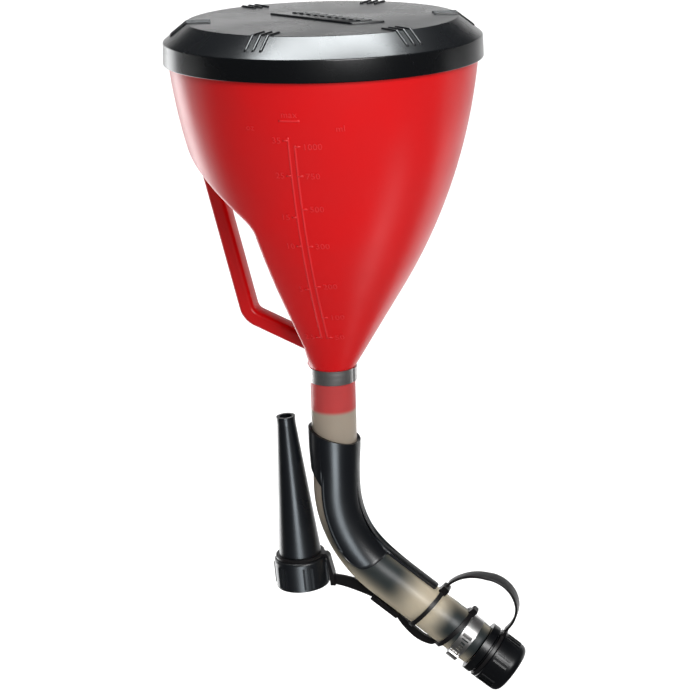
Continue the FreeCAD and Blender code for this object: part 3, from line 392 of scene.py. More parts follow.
def hose_frame(run):
    """Centre, direction and inside normal of the hose, run mm after the start of its bend."""
    if run <= 0.0:
        return Vector((0.0, 0.0, BEND_TOP - run)), Vector((0, 0, -1)), Vector((1, 0, 0))
    angle = min(run / BEND, TURN)
    inward = Vector((math.cos(angle), 0.0, math.sin(angle)))
    ahead = Vector((math.sin(angle), 0.0, -math.cos(angle)))
    centre = Vector((BEND, 0.0, BEND_TOP)) - inward * BEND
    return centre + ahead * max(run - BEND * TURN, 0.0), ahead, inward


def run_at(outlet_distance):
    return outlet_distance - REACH + BEND * TURN


def hose_surface(run, angle, radius):
    """A point at this radius, angle degrees round from the inside of the bend towards -Y."""
    centre, _, inward = hose_frame(run)
    turn = math.radians(angle)
    return centre + inward * (radius * math.cos(turn)) - Vector((0, 1, 0)) * (radius * math.sin(turn))


# ---------------------------------------------------------------- bowl with recess

HALF_CONE = math.radians(30.95)
CONE = math.tan(HALF_CONE)
FOOT, FOOT_RADIUS = -170.1, 12.4      # the cone's lower end
JOIN = -126.1                         # where the cone turns into the bulge
BULGE = 279.5                         # radius of the bulge's arc
JOIN_RADIUS = FOOT_RADIUS + CONE * (JOIN - FOOT)
BULGE_X = JOIN_RADIUS - BULGE * math.cos(HALF_CONE)
BULGE_Z = JOIN + BULGE * math.sin(HALF_CONE)
BAND_FOOT, BAND_TOP = -12.0, -3.0     # the nearly straight band under the rim
BAND_RADIUS, BAND_FLARE = 77.0, 0.3
RIM_RADIUS, RIM_HEIGHT = 77.8, 3.6
RIM_INNER = 75.4

KNEE_X, KNEE_Z = 24.8, -83.7          # where the recess's two faces meet
UPPER_FACE, LOWER_FACE = math.radians(36.3), math.radians(79.2)
HEEL_X, HEEL_Z, HEEL_SLOPE = 10.9, -156.5, 0.0957
RECESS_TOP, RECESS_FADE, FADE_RATE = -30.0, -167.4, 5.0
KNEE_SOFT, EDGE_SOFT, INNER_EDGE_SOFT = 6.0, 5.0, 3.5

CONE_WALL, WALL, LEAST_WALL = 2.1, 1.8, 1.5
WALL_THINS_BY = -60.0
BORE, THROAT = 7.2, -168.3
SPOUT_RADIUS, SPOUT_END = 9.0, -194.0
SPOUT_RING_RADIUS, SPOUT_RING_FIRST, SPOUT_RING_SPACING = 9.75, -192.4, 5.4


def smooth_max(a, b, width):
    h = max(width - abs(a - b), 0.0) / width
    return max(a, b) + h * h * width / 4.0


def smooth_min(a, b, width):
    return -smooth_max(-a, -b, width)


def bowl_radius(z):
    if z < JOIN:
        return FOOT_RADIUS + CONE * (z - FOOT)
    if z < BAND_FOOT:
        return BULGE_X + math.sqrt(BULGE ** 2 - (z - BULGE_Z) ** 2)
    return BAND_RADIUS + BAND_FLARE * (z - BAND_FOOT) / (BAND_TOP - BAND_FOOT)


def recess_reach(z, inset):
    """How far the recess face lies from the axis towards the handle."""
    upper = KNEE_X + (z - KNEE_Z) / math.tan(UPPER_FACE) - inset / math.sin(UPPER_FACE)
    lower = KNEE_X + (z - KNEE_Z) / math.tan(LOWER_FACE) - inset / math.sin(LOWER_FACE)
    if z < HEEL_Z:
        lower = HEEL_X + HEEL_SLOPE * (HEEL_Z - z) - inset
    return smooth_max(upper, lower, KNEE_SOFT) + FADE_RATE * max(RECESS_FADE - z, 0.0)


def with_recess(radius, z, angle, inset, soft):
    toward = -math.cos(angle)
    if toward < 0.05 or z > RECESS_TOP:
        return radius
    return smooth_min(radius, recess_reach(z, inset) / toward, soft)


def outer_radius(z, angle):
    return with_recess(bowl_radius(z), z, angle, 0.0, EDGE_SOFT)


def inner_radius(z, angle):
    if z < JOIN:
        plain = BORE + (JOIN_RADIUS - CONE_WALL - BORE) * (z - THROAT) / (JOIN - THROAT)
    else:
        thinner = (CONE_WALL - WALL) * blend_value(JOIN, WALL_THINS_BY, z)
        plain = bowl_radius(z) - CONE_WALL + thinner
    hollow = with_recess(plain, z, angle, WALL, INNER_EDGE_SOFT)
    return min(hollow, outer_radius(z, angle) - LEAST_WALL)


def spout_outline():
    """From the throat down the bore, round the tip and up the outside over its three rings."""
    spout = [(BORE, -170.0), (BORE, SPOUT_END, 0.3), (SPOUT_RADIUS, SPOUT_END, 0.4)]
    for turn in range(3):
        low = SPOUT_RING_FIRST + SPOUT_RING_SPACING * turn
        spout += [(SPOUT_RADIUS, low, 0.2), (SPOUT_RING_RADIUS, low + 0.3, 0.3),
                  (SPOUT_RING_RADIUS, low + 1.4, 0.4), (SPOUT_RADIUS, low + 3.0, 0.4)]
    spout += [(SPOUT_RADIUS, FOOT - 0.3, 0.5), (FOOT_RADIUS - 1.0, FOOT - 0.3)]
    return rounded(spout, closed=False, steps=4)


def make_bowl():
    levels = 150
    outside_low, outside_high = -170.0, -3.9
    inside_low, inside_high = -168.2, -4.0
    rings = [circle(FOOT_RADIUS - 0.7, FOOT - 0.25), circle(FOOT_RADIUS - 0.3, FOOT - 0.15)]
    for i in range(levels + 1):
        rings.append(circle(outer_radius, outside_low + (outside_high - outside_low) * i / levels))
    rim = [(RIM_RADIUS - 0.53, -RIM_HEIGHT), (RIM_RADIUS, -2.9, 0.4), (RIM_RADIUS, 0.0, 0.4),
           (RIM_INNER + 0.1, 0.0, 0.4), (RIM_INNER, -2.5)]
    rings += [circle(radius, height) for radius, height in rounded(rim, closed=False)]
    for i in range(levels + 1):
        rings.append(circle(inner_radius, inside_high + (inside_low - inside_high) * i / levels))
    rings += [circle(radius, height) for radius, height in spout_outline()]
    points, faces = skin(rings)
    piece = make_object("bowl", points, faces, RED, "funnel")
    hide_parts("funnel_body")


# ---------------------------------------------------------------- handle

# The handle's outer edge (x, z), and its bar's thickness, width and rounding.
HANDLE_TOP, HANDLE_CORNER, HANDLE_FOOT = (-70.6, -48.0), (-47.0, -146.9), (-10.2, -162.6)
GRIP_THICK, GRIP_WIDE, GRIP_ROUND, GRIP_BEND = 8.0, 12.0, 2.4, 9.0


def wall_point(start, ahead, side, u, v):
    """Where one fibre of the bar, u across and v along Y, meets the middle of the bowl's wall."""
    def inside(reach):
        spot = start + ahead * reach + side * u
        angle = math.atan2(v, spot.x)
        middle_wall = (outer_radius(spot.y, angle) + inner_radius(spot.y, angle)) / 2.0
        return math.hypot(spot.x, v) < middle_wall

    step, farthest = 0.5, 110.0
    high = 0.0
    while not inside(high) and high < farthest:
        high += step
    low = max(high - step, 0.0)
    for _ in range(18):
        centre = (low + high) / 2.0
        if inside(centre):
            high = centre
        else:
            low = centre
    spot = start + ahead * high + side * u
    return Vector((spot.x, v, spot.y))


def grip_ring(spot, side, section):
    return [Vector((spot.x + side.x * u, v, spot.y + side.y * u)) for u, v in section]


def shortest_reach(ring, start):
    return min((Vector((p.x, p.z)) - start).length for p in ring)


def make_handle():
    """A rounded bar; both ends stop inside the bowl's wall."""
    top, corner, foot = Vector(HANDLE_TOP), Vector(HANDLE_CORNER), Vector(HANDLE_FOOT)
    down = (corner - top).normalized()
    inward = (foot - corner).normalized()
    side_down = Vector((-down.y, down.x))
    side_in = Vector((-inward.y, inward.x))
    half = GRIP_THICK / 2.0
    middle = corner + (side_down + side_in) * (half / (1.0 + side_down.dot(side_in)))
    line = rounded([
        tuple(top + side_down * half), (middle.x, middle.y, GRIP_BEND), tuple(foot + side_in * half),
    ], closed=False, steps=14)
    section = box_outline(GRIP_THICK, GRIP_WIDE, GRIP_ROUND, steps=5)
    first, last = Vector(line[1]), Vector(line[-2])
    near_wall = 0.96
    start = [wall_point(first, -down, side_down, u, v) for u, v in section]
    rings = [start]
    reach = shortest_reach(start, first)
    for part in range(1, 9):
        rings.append(grip_ring(first - down * (reach * (1.0 - part / 9.0) * near_wall), side_down, section))
    for i in range(1, len(line) - 1):
        before = Vector(line[i - 1]) if i > 1 else Vector(line[i]) - down
        after = Vector(line[i + 1]) if i < len(line) - 2 else Vector(line[i]) + inward
        ahead = (after - before).normalized()
        rings.append(grip_ring(Vector(line[i]), Vector((-ahead.y, ahead.x)), section))
    end = [wall_point(last, inward, side_in, u, v) for u, v in section]
    reach = shortest_reach(end, last)
    for part in range(1, 5):
        rings.append(grip_ring(last + inward * (reach * part / 5.0 * near_wall), side_in, section))
    rings.append(end)
    points, faces = skin(rings, loop_rings=False)
    piece = make_object("handle", points, faces, RED, "funnel")


# ---------------------------------------------------------------- scale on the bowl's front

SCALE_ROOT = -0.35                    # how deep the marks sit in the wall
LINE_LIFT, FIGURE_LIFT = 0.28, 0.26   # how far they stand proud
FINE_STEP = 1.2                       # longest straight piece of a mark
LEFT_LINE, RIGHT_LINE, LINE_FOOT = 1.9, 4.9, -148.0
TICK_LENGTH, FIGURE_GAP, FIGURE_DROP, FIGURE_SIZE = 2.6, 3.6, 1.5, 4.3
OUNCE_MARKS = (("35", -36.8), ("25", -54.4), ("15", -76.2), ("10", -92.0), ("5", -117.0), ("2.5", -147.2))
LITRE_MARKS = (("1000", -39.8), ("750", -54.6), ("500", -71.8), ("300", -92.0), ("200", -115.4),
               ("100", -134.6), ("50", -147.4))


def on_front(x, z, lift):
    """A point on the bowl's -Y side, lift mm proud of it."""
    radius = bowl_radius(z) + lift
    return Vector((x, -math.sqrt(max(radius * radius - x * x, 1.0)), z))


def raised_strip(name, line, width, lift=LINE_LIFT):
    """A thin raised line through (x, z) points on the bowl's front."""
    fine = []
    for a, b in zip(line, line[1:]):
        steps = max(int(math.hypot(b[0] - a[0], b[1] - a[1]) / FINE_STEP), 1)
        for i in range(steps):
            fine.append((a[0] + (b[0] - a[0]) * i / steps, a[1] + (b[1] - a[1]) * i / steps))
    fine.append(line[-1])
    half, shoulder = width / 2.0, lift * 0.45
    section = [(-half, SCALE_ROOT), (-half, shoulder), (-half * 0.55, lift),
               (half * 0.55, lift), (half, shoulder), (half, SCALE_ROOT)]
    rings = []
    for i, spot in enumerate(fine):
        before = Vector(fine[max(i - 1, 0)])
        after = Vector(fine[min(i + 1, len(fine) - 1)])
        ahead = (after - before).normalized()
        rings.append([on_front(spot[0] - ahead.y * u, spot[1] + ahead.x * u, up) for u, up in section])
    points, faces = skin(rings, loop_rings=False)
    piece = make_object(name, points, faces + end_caps(points, len(section)), MARK_RED_PAINTED_HIGHLIGHT, "funnel")


def raised_text(name, words, x, z, size, align="CENTER", lift=FIGURE_LIFT):
    """Plain raised figures that follow the bowl's front."""
    data = bpy.data.curves.new(f"{name}_type", "FONT")
    data.body = words
    data.size = size
    data.align_x = align
    data.extrude = 0.1
    data.space_character = 1.08
    shape = bpy.data.objects.new(f"{name}_type", data)
    mesh = bpy.data.meshes.new_from_object(shape)
    split = bmesh.new()
    split.from_mesh(mesh)
    long_edges = [edge for edge in split.edges if edge.calc_length() > FINE_STEP]
    bmesh.ops.subdivide_edges(split, edges=long_edges, cuts=2)
    split.to_mesh(mesh)
    split.free()
    points = []
    for vertex in mesh.vertices:
        up = lift if vertex.co.z > 0 else SCALE_ROOT
        points.append(on_front(x + vertex.co.x, z + vertex.co.y, up))
    faces = [tuple(p.vertices) for p in mesh.polygons]
    piece = make_object(name, points, faces, MARK_RED_PAINTED_HIGHLIGHT, "funnel")
    bpy.data.objects.remove(shape)
    sharpen(piece, 40.0)


def make_marks(unit, marks, line, side, align):
    """Ticks and figures on one side (-1 left, 1 right) of the scale."""
    for words, z in marks:
        label = words.replace(".", "_")
        tick = [(line, z), (line + side * TICK_LENGTH, z)]
        raised_strip(f"scale_tick_{unit}_{label}", tick if side > 0 else tick[::-1], 0.85)
        figure_x = line + side * FIGURE_GAP
        raised_text(f"scale_{unit}_{label}", words, figure_x, z - FIGURE_DROP, FIGURE_SIZE, align)


def make_scale():
    raised_strip("scale_line_left", [(LEFT_LINE, -35.0), (LEFT_LINE, LINE_FOOT)], 0.95)
    raised_strip("scale_line_right", [(RIGHT_LINE, -39.0), (RIGHT_LINE, LINE_FOOT)], 0.95)
    raised_strip("scale_max_line", [(-1.8, -27.2), (8.3, -27.2)], 0.9)
    raised_text("scale_max", "max", 3.2, -25.6, 4.4)
    raised_text("scale_oz", "oz", -16.8, -32.4, 4.2)
    raised_text("scale_ml", "ml", 26.4, -32.6, 4.2)
    make_marks("oz", OUNCE_MARKS, LEFT_LINE, -1.0, "RIGHT")
    make_marks("ml", LITRE_MARKS, RIGHT_LINE, 1.0, "LEFT")


# ---------------------------------------------------------------- lid

LID_TOP, LID_EDGE = 11.0, 67.5        # height of the flat top and radius where the bevel starts
BEVEL_DROP = 9.0 / 11.8
SKIRT_OUTER, SKIRT_INNER, SKIRT_FOOT = 80.0, 78.3, -9.0

RIB_GROUPS, FIRST_GROUP, RIB_SPACING = 6, math.radians(19.8), 4.0
RIB_SECTION = [(-0.8, -0.6), (-0.8, 0.05), (-0.62, 0.5), (-0.3, 0.72),
               (0.3, 0.72), (0.62, 0.5), (0.8, 0.05), (0.8, -0.6)]
RIB_STATIONS = [55.5, 55.7, 56.5, 62.0, 66.2, 67.0, 67.5, 68.0, 69.0, 73.0, 75.0, 75.4, 75.7]
RIB_END = 0.7                         # how much smaller a rib's ends are

PLATE_CORNER = Vector((-30.5, 10.1))
PLATE_LENGTHWAYS = Vector((math.cos(math.radians(-33.5)), math.sin(math.radians(-33.5))))
PLATE_CROSSWAYS = Vector((math.cos(math.radians(30.0)), math.sin(math.radians(30.0))))
PLATE_LONG, PLATE_WIDE, PLATE_FOOT, PLATE_TOP = 61.3, 17.6, 10.7, 11.75
BAR_COUNT, BAR_FIRST, BAR_SPACING, BAR_LONG = 10, 6.6, 5.3, 3.2
BAR_NEAR, BAR_FAR, BAR_FOOT, BAR_TOP = 7.4, 13.6, 11.6, 12.25


def lid_height(radius):
    return LID_TOP - max(radius - LID_EDGE, 0.0) * BEVEL_DROP


def slanted_block(start, finish, near, far, low, high, corner):
    """A low block on the lid, square to the plate's own slanting directions."""
    outline = rounded([
        (start, near, corner), (finish, near, corner), (finish, far, corner), (start, far, corner),
    ])
    middle = ((start + finish) / 2.0, (near + far) / 2.0)
    rings = []
    for height, inset in ((low, 0.0), (high - 0.2, 0.0), (high - 0.06, 0.06), (high, 0.2)):
        ring = []
        for u, v in outline:
            u -= math.copysign(inset, u - middle[0])
            v -= math.copysign(inset, v - middle[1])
            spot = PLATE_CORNER + PLATE_LENGTHWAYS * u + PLATE_CROSSWAYS * v
            ring.append(Vector((spot.x, spot.y, height)))
        rings.append(ring)
    points, faces = skin(rings, loop_rings=False)
    faces.append(tuple(range(len(points) - len(outline), len(points))))
    return points, faces


def lid_rib(turn, side):
    """One rib that follows the lid's top and bevel."""
    rings = []
    for reach in RIB_STATIONS:
        size = RIB_END if reach in (RIB_STATIONS[0], RIB_STATIONS[-1]) else 1.0
        ring = []
        for u, v in RIB_SECTION:
            lift = v * size if v > 0 else v
            height = lid_height(math.hypot(reach, side + u)) + lift
            ring.append(turn @ Vector((reach, side + u * size, height)))
        rings.append(ring)
    points, faces = skin(rings, loop_rings=False)
    return points, faces + end_caps(points, len(RIB_SECTION))


def make_lid():
    outline = rounded([
        (0.0, LID_TOP), (0.0, 9.2), (66.9, 9.2, 1.0), (77.85, 0.3, 1.0), (SKIRT_INNER, SKIRT_FOOT, 0.4),
        (SKIRT_OUTER, SKIRT_FOOT, 0.5), (79.55, 1.7, 1.0), (LID_EDGE, LID_TOP, 1.3),
    ], steps=6)
    points, faces = skin([circle(radius, height) for radius, height in outline])
    shell = make_object("lid_shell", points, faces, LID_BLACK, "lid")
    ribs = []
    for group in range(RIB_GROUPS):
        turn = Matrix.Rotation(FIRST_GROUP + 2.0 * math.pi * group / RIB_GROUPS, 3, "Z")
        ribs += [lid_rib(turn, RIB_SPACING * rib) for rib in (-1, 0, 1)]
    rib_piece = make_object("lid_ribs", *joined(ribs), LID_BLACK, "lid")
    block = slanted_block(0.0, PLATE_LONG, 0.0, PLATE_WIDE, PLATE_FOOT, PLATE_TOP, 1.2)
    plate = make_object("lid_plate", *block, LID_BLACK, "lid")
    bars = []
    for bar in range(BAR_COUNT):
        start = BAR_FIRST + BAR_SPACING * bar
        bars.append(slanted_block(start, start + BAR_LONG, BAR_NEAR, BAR_FAR, BAR_FOOT, BAR_TOP, 0.5))
    bar_piece = sharpen(make_object("lid_plate_bars", *joined(bars), LID_BLACK, "lid"), 60.0)
    sharpen(shell, 60.0)
    sharpen(plate, 60.0)
    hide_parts("lid")


# ---------------------------------------------------------------- hose

HOSE_RADIUS, HOSE_BORE = 11.9, 9.8
HOSE_TOP, HOSE_END = -170.4, 95.1     # height of its upper end, distance of its lower one down the outlet
BARBS, BARB_FIRST, BARB_SPACING = 4, 72.4, 6.0
BARB_SWELL, BARB_SPREAD = 0.16, 1.7


def hose_radius(run):
    """The hose swells slightly over the barbs inside it."""
    swell = 0.0
    for barb in range(BARBS):
        middle = run_at(BARB_FIRST + BARB_SPACING * barb)
        swell += BARB_SWELL * math.exp(-((run - middle) / BARB_SPREAD) ** 2)
    return HOSE_RADIUS + swell


def make_hose():
    top = BEND_TOP - HOSE_TOP
    end = run_at(HOSE_END)
    steps = 130
    runs = [top + 0.5 + (end - top - 1.0) * i / steps for i in range(steps + 1)]
    around = 72
    stations = [(top, HOSE_RADIUS - 0.6), (top + 0.15, HOSE_RADIUS - 0.2)]
    stations += [(run, hose_radius(run)) for run in runs]
    stations += [(end - 0.15, HOSE_RADIUS - 0.15), (end, HOSE_RADIUS - 0.6)]
    stations += [(end, HOSE_BORE + 0.5), (end - 0.2, HOSE_BORE)]
    stations += [(run, HOSE_BORE) for run in reversed(runs)]
    stations += [(top + 0.2, HOSE_BORE), (top, HOSE_BORE + 0.5)]
    rings = []
    for run, radius in stations:
        rings.append([hose_surface(run, 360.0 * k / around, radius) for k in range(around)])
    points, faces = skin(rings)
    piece = make_object("hose_tube", points, faces, VINYL, "outlet")
    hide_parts("hose")


# ---------------------------------------------------------------- elbow guide

GUIDE_RADIUS, GUIDE_BORE, GUIDE_THINNING = 13.9, 12.05, 0.85
GUIDE_TOP, GUIDE_TOP_SLOPE = -208.0, 4.0
SPINE_SIDE, SPINE_END, SPINE_RISE = 12.2, 58.2, 0.9    # degrees either side, outlet distance, extra height
BACK_FROM, BACK_TOP, BACK_WIDTH, BACK_RISE = 110.4, -225.5, 9.1, 9.5
BEAD, BEAD_WIDTH = 0.35, 1.2

# The lower edge of the guide's wings: degrees round from the inside of the bend, outlet distance.
WING = [(12.4, 26.6), (14.0, 25.6), (18.0, 24.9), (32.0, 24.3), (50.0, 23.7), (64.0, 23.1), (76.0, 22.1),
        (84.0, 21.2), (90.0, 20.1), (96.0, 18.4), (101.0, 16.2), (105.0, 13.6), (108.0, 10.6), (110.0, 6.0)]
GUIDE_ANGLES = [0.0, 4.0, 8.0, 10.5, 12.2, 12.5, 14.0, 18.0, 24.0, 32.0, 41.0, 50.0, 57.0, 64.0, 70.0, 76.0,
                80.0, 84.0, 87.0, 90.0, 93.0, 96.0, 98.5, 101.0, 103.0, 105.0, 106.5, 108.0, 109.2, 110.2,
                110.5, 113.0, 118.0, 124.0, 132.0, 140.0, 150.0, 160.0, 170.0]


def guide_top(angle):
    return BEND_TOP - GUIDE_TOP + GUIDE_TOP_SLOPE * math.cos(math.radians(angle))


def guide_end(angle):
    """Where the guide stops: far down the spine, at the wings' edge, and high up at the back."""
    if angle <= SPINE_SIDE:
        return run_at(SPINE_END) - 0.9 * blend_value(8.0, SPINE_SIDE, angle)
    if angle >= BACK_FROM:
        x = 14.0 * (1.0 + math.cos(math.radians(angle)))
        return BEND_TOP - BACK_TOP + BACK_RISE * x / BACK_WIDTH
    for (a, first), (b, second) in zip(WING, WING[1:]):
        if angle <= b:
            return run_at(first + (second - first) * max(angle - a, 0.0) / (b - a))
    return run_at(WING[-1][1])


def guide_radius(run, angle):
    """A thinner sleeve below, a thicker spine, and a bead along the wings' edge."""
    body = GUIDE_RADIUS - GUIDE_THINNING * blend_value(-26.0, -6.0, run)
    spine = 0.0
    if angle < SPINE_SIDE + 0.8:
        spine = SPINE_RISE * blend_value(run_at(14.0), run_at(30.0), run)
    bead = 0.0
    if SPINE_SIDE < angle < BACK_FROM:
        bead = BEAD * max(1.0 - max((guide_end(angle) - run) / BEAD_WIDTH, 0.0), 0.0)
        if run < run_at(WING[-1][1]):
            bead = max(bead, BEAD * blend_value(103.5, 107.0, angle))
    return body + max(spine, bead * blend_value(-12.0, -4.0, run))


def make_guide():
    around = [-a for a in reversed(GUIDE_ANGLES[1:])] + GUIDE_ANGLES + [180.0]
    steps = 110
    outer, inner = [], []
    for share in range(steps + 1):
        out_ring, in_ring = [], []
        for signed in around:
            angle = abs(signed)
            start, finish = guide_top(angle), guide_end(angle)
            run = start + (finish - start) * share / steps
            out_ring.append(hose_surface(run, signed, guide_radius(run, angle)))
            in_ring.append(hose_surface(run, signed, GUIDE_BORE))
        outer.append(out_ring)
        inner.append(in_ring)
    count = len(around)
    points = [p for ring in outer + inner for p in ring]
    offset = len(outer) * count
    faces = []
    for i in range(steps):
        here, beyond = i * count, (i + 1) * count
        for k in range(count):
            m = (k + 1) % count
            faces.append((here + k, here + m, beyond + m, beyond + k))
            faces.append(tuple(offset + v for v in faces[-1][::-1]))
    for i in (0, steps):
        here = i * count
        for k in range(count):
            m = (k + 1) % count
            faces.append((here + k, here + m, offset + here + m, offset + here + k))
    piece = make_object("guide_elbow", points, faces, BLACK, "outlet")
    sharpen(piece, 40.0)
    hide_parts("hose_guide")


# ---------------------------------------------------------------- clamps

LOWER_CLAMP = OUTLET @ Matrix.Translation(Vector((0.0, 0.0, 86.5)))
UPPER_CLAMP = Matrix.Translation(Vector((0.0, 0.0, -174.2)))
BAND_WIDE, BAND_INNER, BAND_THICK = 7.2, 11.95, 0.55
# The lower band's openings: angle from, to, height from, to.
WINDOWS = [(252.0, 259.0, -1.0, 1.6), (262.0, 269.0, -1.0, 1.6), (272.0, 279.0, -1.0, 1.6),
           (236.0, 247.0, -2.3, -1.4), (236.0, 247.0, 1.2, 2.1), (284.0, 288.0, -1.8, 2.2)]
EAR_ANGLE, EAR_REACH = math.radians(225.0), 13.2


def on_band(radius, angle, height):
    return Vector((radius * math.cos(angle), radius * math.sin(angle), height))


def make_windowed_band():
    """A flat band bent round the hose, with openings through it."""
    angles = sorted({3.0 * k for k in range(120)} | {a for w in WINDOWS for a in w[:2]})
    heights = sorted({-BAND_WIDE / 2.0, BAND_WIDE / 2.0, 0.0} | {h for w in WINDOWS for h in w[2:]})
    outside, inside = [], []
    for height in heights:
        for rows, radius in ((outside, BAND_INNER + BAND_THICK), (inside, BAND_INNER)):
            rows.append([LOWER_CLAMP @ on_band(radius, math.radians(a), height) for a in angles])
    count = len(angles)
    points = [p for row in outside + inside for p in row]
    offset = len(outside) * count

    def is_open(i, k):
        if i < 0 or i >= len(heights) - 1:
            return True
        height = (heights[i] + heights[i + 1]) / 2.0
        angle = angles[k] + ((angles[(k + 1) % count] - angles[k]) % 360.0) / 2.0
        return any(w[0] < angle < w[1] and w[2] < height < w[3] for w in WINDOWS)

    faces = []

    def wall(first, second):
        """A face through the band's thickness, along one edge of an opening."""
        faces.append((first, second, offset + second, offset + first))

    for i in range(-1, len(heights)):
        here, beyond = i * count, (i + 1) * count
        for k in range(count):
            m = (k + 1) % count
            if not is_open(i, k):
                faces.append((here + k, here + m, beyond + m, beyond + k))
                faces.append(tuple(offset + v for v in faces[-1][::-1]))
                if is_open(i, m):
                    wall(here + m, beyond + m)
            elif 0 <= i < len(heights) - 1 and not is_open(i, m):
                wall(here + m, beyond + m)
            if i < len(heights) - 1 and is_open(i, k) != is_open(i + 1, k):
                wall(beyond + k, beyond + m)
    band = sharpen(make_object("lower_band", points, faces, STEEL, "outlet"), 40.0)
    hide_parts("lower_hose_clamp")


def make_overlap(name, place, first, sweep, steps, rise, section):
    """The band's free end, lying on the band. rise gives its radius for each step."""
    rings = []
    for i in range(steps + 1):
        angle = math.radians(first + sweep * i / steps)
        rings.append([place @ on_band(rise(i) + lift, angle, height) for lift, height in section])
    points, faces = skin(rings, loop_rings=False)
    faces += end_caps(points, len(section))
    strip = sharpen(make_object(name, points, faces, STEEL, "outlet"), 40.0)


def make_clamp_ear():
    """The lower clamp's folded ear."""
    outline = box_outline(6.0, 2.2, 0.8)
    place = LOWER_CLAMP @ Matrix.Rotation(EAR_ANGLE, 4, "Z")
    rings = []
    for height, size in ((-3.2, 0.92), (-3.0, 1.0), (3.0, 1.0), (3.2, 0.92)):
        rings.append([place @ Vector((EAR_REACH + v * size, u * size, height)) for u, v in outline])
    points, faces = skin(rings, loop_rings=False)
    faces += end_caps(points, len(outline))
    hump = sharpen(make_object("lower_band_ear", points, faces, STEEL, "outlet"), 40.0)


def make_clamps():
    outer = BAND_INNER + BAND_THICK
    make_windowed_band()
    make_overlap(
        "lower_band_overlap", LOWER_CLAMP, 292.0, 66.0, 24,
        lambda i: outer + 0.5 * math.sin(math.pi * min(i / 5.0, 1.0) / 2.0),
        [(-0.45, -2.9), (0.0, -2.8), (0.0, 2.8), (-0.45, 2.9)],
    )
    make_clamp_ear()
    make_overlap(
        "upper_band_overlap", UPPER_CLAMP, -16.0, 74.0, 30,
        lambda i: outer + 0.45 * min(i / 3.0, 1.0),
        [(-0.42, -3.7), (0.0, -3.6), (0.0, 3.6), (-0.42, 3.7)],
    )


# ---------------------------------------------------------------- straps

ARCH_SECTION = box_outline(1.35, 8.4, 0.5, steps=4)
WEB_SECTION = box_outline(1.0, 1.8, 0.25, steps=3)
# The nozzle strap's line (x, z) and its height at each point.
WEB_LINE = [(-3.4, -292.6), (-1.0, -292.9), (3.0, -293.4), (7.6, -294.3), (12.0, -296.3), (16.0, -298.7),
            (19.0, -300.3), (21.5, -302.0)]
WEB_HEIGHTS = [5.9, 5.9, 6.2, 6.6, 5.4, 3.4, 2.4, 2.2]
TEETH, FIRST_TOOTH = 7, 3


def arch_line():
    """From the hose loop's head up over the top and down to the cap's neck ring."""
    line = [(60.9, -291.0), (61.4, -289.8)]
    line += arc_points((62.4, -288.9), (82.0, -284.0), -24.0, 14)
    line += arc_points((82.0, -284.0), (98.3, -300.4), -17.0, 16)[1:]
    return line + arc_points((98.3, -300.4), (91.7, -314.3), -20.0, 12)[1:]


def strap_tooth(spot, ahead, side):
    """A small block on one edge of the strap, narrower outwards."""
    out = Vector((-ahead.y, ahead.x))
    points = []
    for w in (0.5, -0.5):
        for u, v in ((-0.5, 2.1), (0.5, 2.1), (0.4, 3.0), (-0.4, 3.0)):
            flat = spot + ahead * u + out * w
            points.append(Vector((flat.x, side * v, flat.y)))
    return points, [(0, 1, 2, 3), (4, 7, 6, 5), (0, 4, 5, 1), (1, 5, 6, 2), (2, 6, 7, 3), (3, 7, 4, 0)]


def make_cap_strap():
    line = arch_line()
    sizes = []
    for i in range(len(line)):
        share = i / (len(line) - 1)
        wide = 0.62 + 0.42 * blend_value(0.05, 0.45, share) - 0.40 * blend_value(0.6, 1.0, share)
        sizes.append((1.0, wide))
    arch = sharpen(sweep_flat("cap_strap_band", line, ARCH_SECTION, SOFT_BLACK, "", sizes), 50.0)
    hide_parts("cap_strap")
    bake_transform(arch)
    teeth = []
    for i in range(FIRST_TOOTH, FIRST_TOOTH + TEETH):
        spot = Vector(line[i])
        ahead = (Vector(line[i + 1]) - spot).normalized()
        teeth += [strap_tooth(spot, ahead, side) for side in (-1.0, 1.0)]
    notches = sharpen(make_object("cap_strap_teeth", *joined(teeth), SOFT_BLACK, "outlet"), 30.0)


def make_nozzle_strap():
    sizes = [(height, 1.0) for height in WEB_HEIGHTS]
    web = sharpen(sweep_flat("nozzle_strap_band", WEB_LINE, WEB_SECTION, SOFT_BLACK, "", sizes), 50.0)
    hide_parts("nozzle_strap")
    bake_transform(web)


# ---------------------------------------------------------------- CAD nodes that stay

EDGE_SOFTENING = {
    "outlet_cap": 0.25, "outlet_fitting": 0.3, "nozzle": 0.3, "cap_hose_loop": 0.35, "nozzle_hose_loop": 0.4,
    "nozzle_neck_ring": 0.3, "cap_neck_ring": 0.25, "upper_hose_clamp": 0.08,
}


def finish_nodes():
    """Gives every CAD node its material, and softens the edges of those that are seen."""
    for name, item in nodes.items():
        item.data.materials.clear()
        item.data.materials.append(MATERIAL_OF[name])
    for name, width in EDGE_SOFTENING.items():
        soften_edges(nodes[name], width, 3, 32.0)


# ---------------------------------------------------------------- studio (metres)

MIDDLE = (0.0, 0.0, -0.08)            # what the lamps are aimed at
VIEW_HEADING = math.radians(15.0)     # how far the camera stands to the right of the front
FLOOR_Z, BACKDROP_TOP = -0.95, 0.7
STAGE_HALF, STAGE_BACK, STAGE_CURVE = 14.0, 2.2, 0.8
FLOOR_END = 0.6
WHITE, COOL, PALE_COOL, COLD = (1.0, 1.0, 1.0), (0.93, 0.98, 1.0), (0.97, 0.99, 1.0), (0.84, 0.93, 1.0)


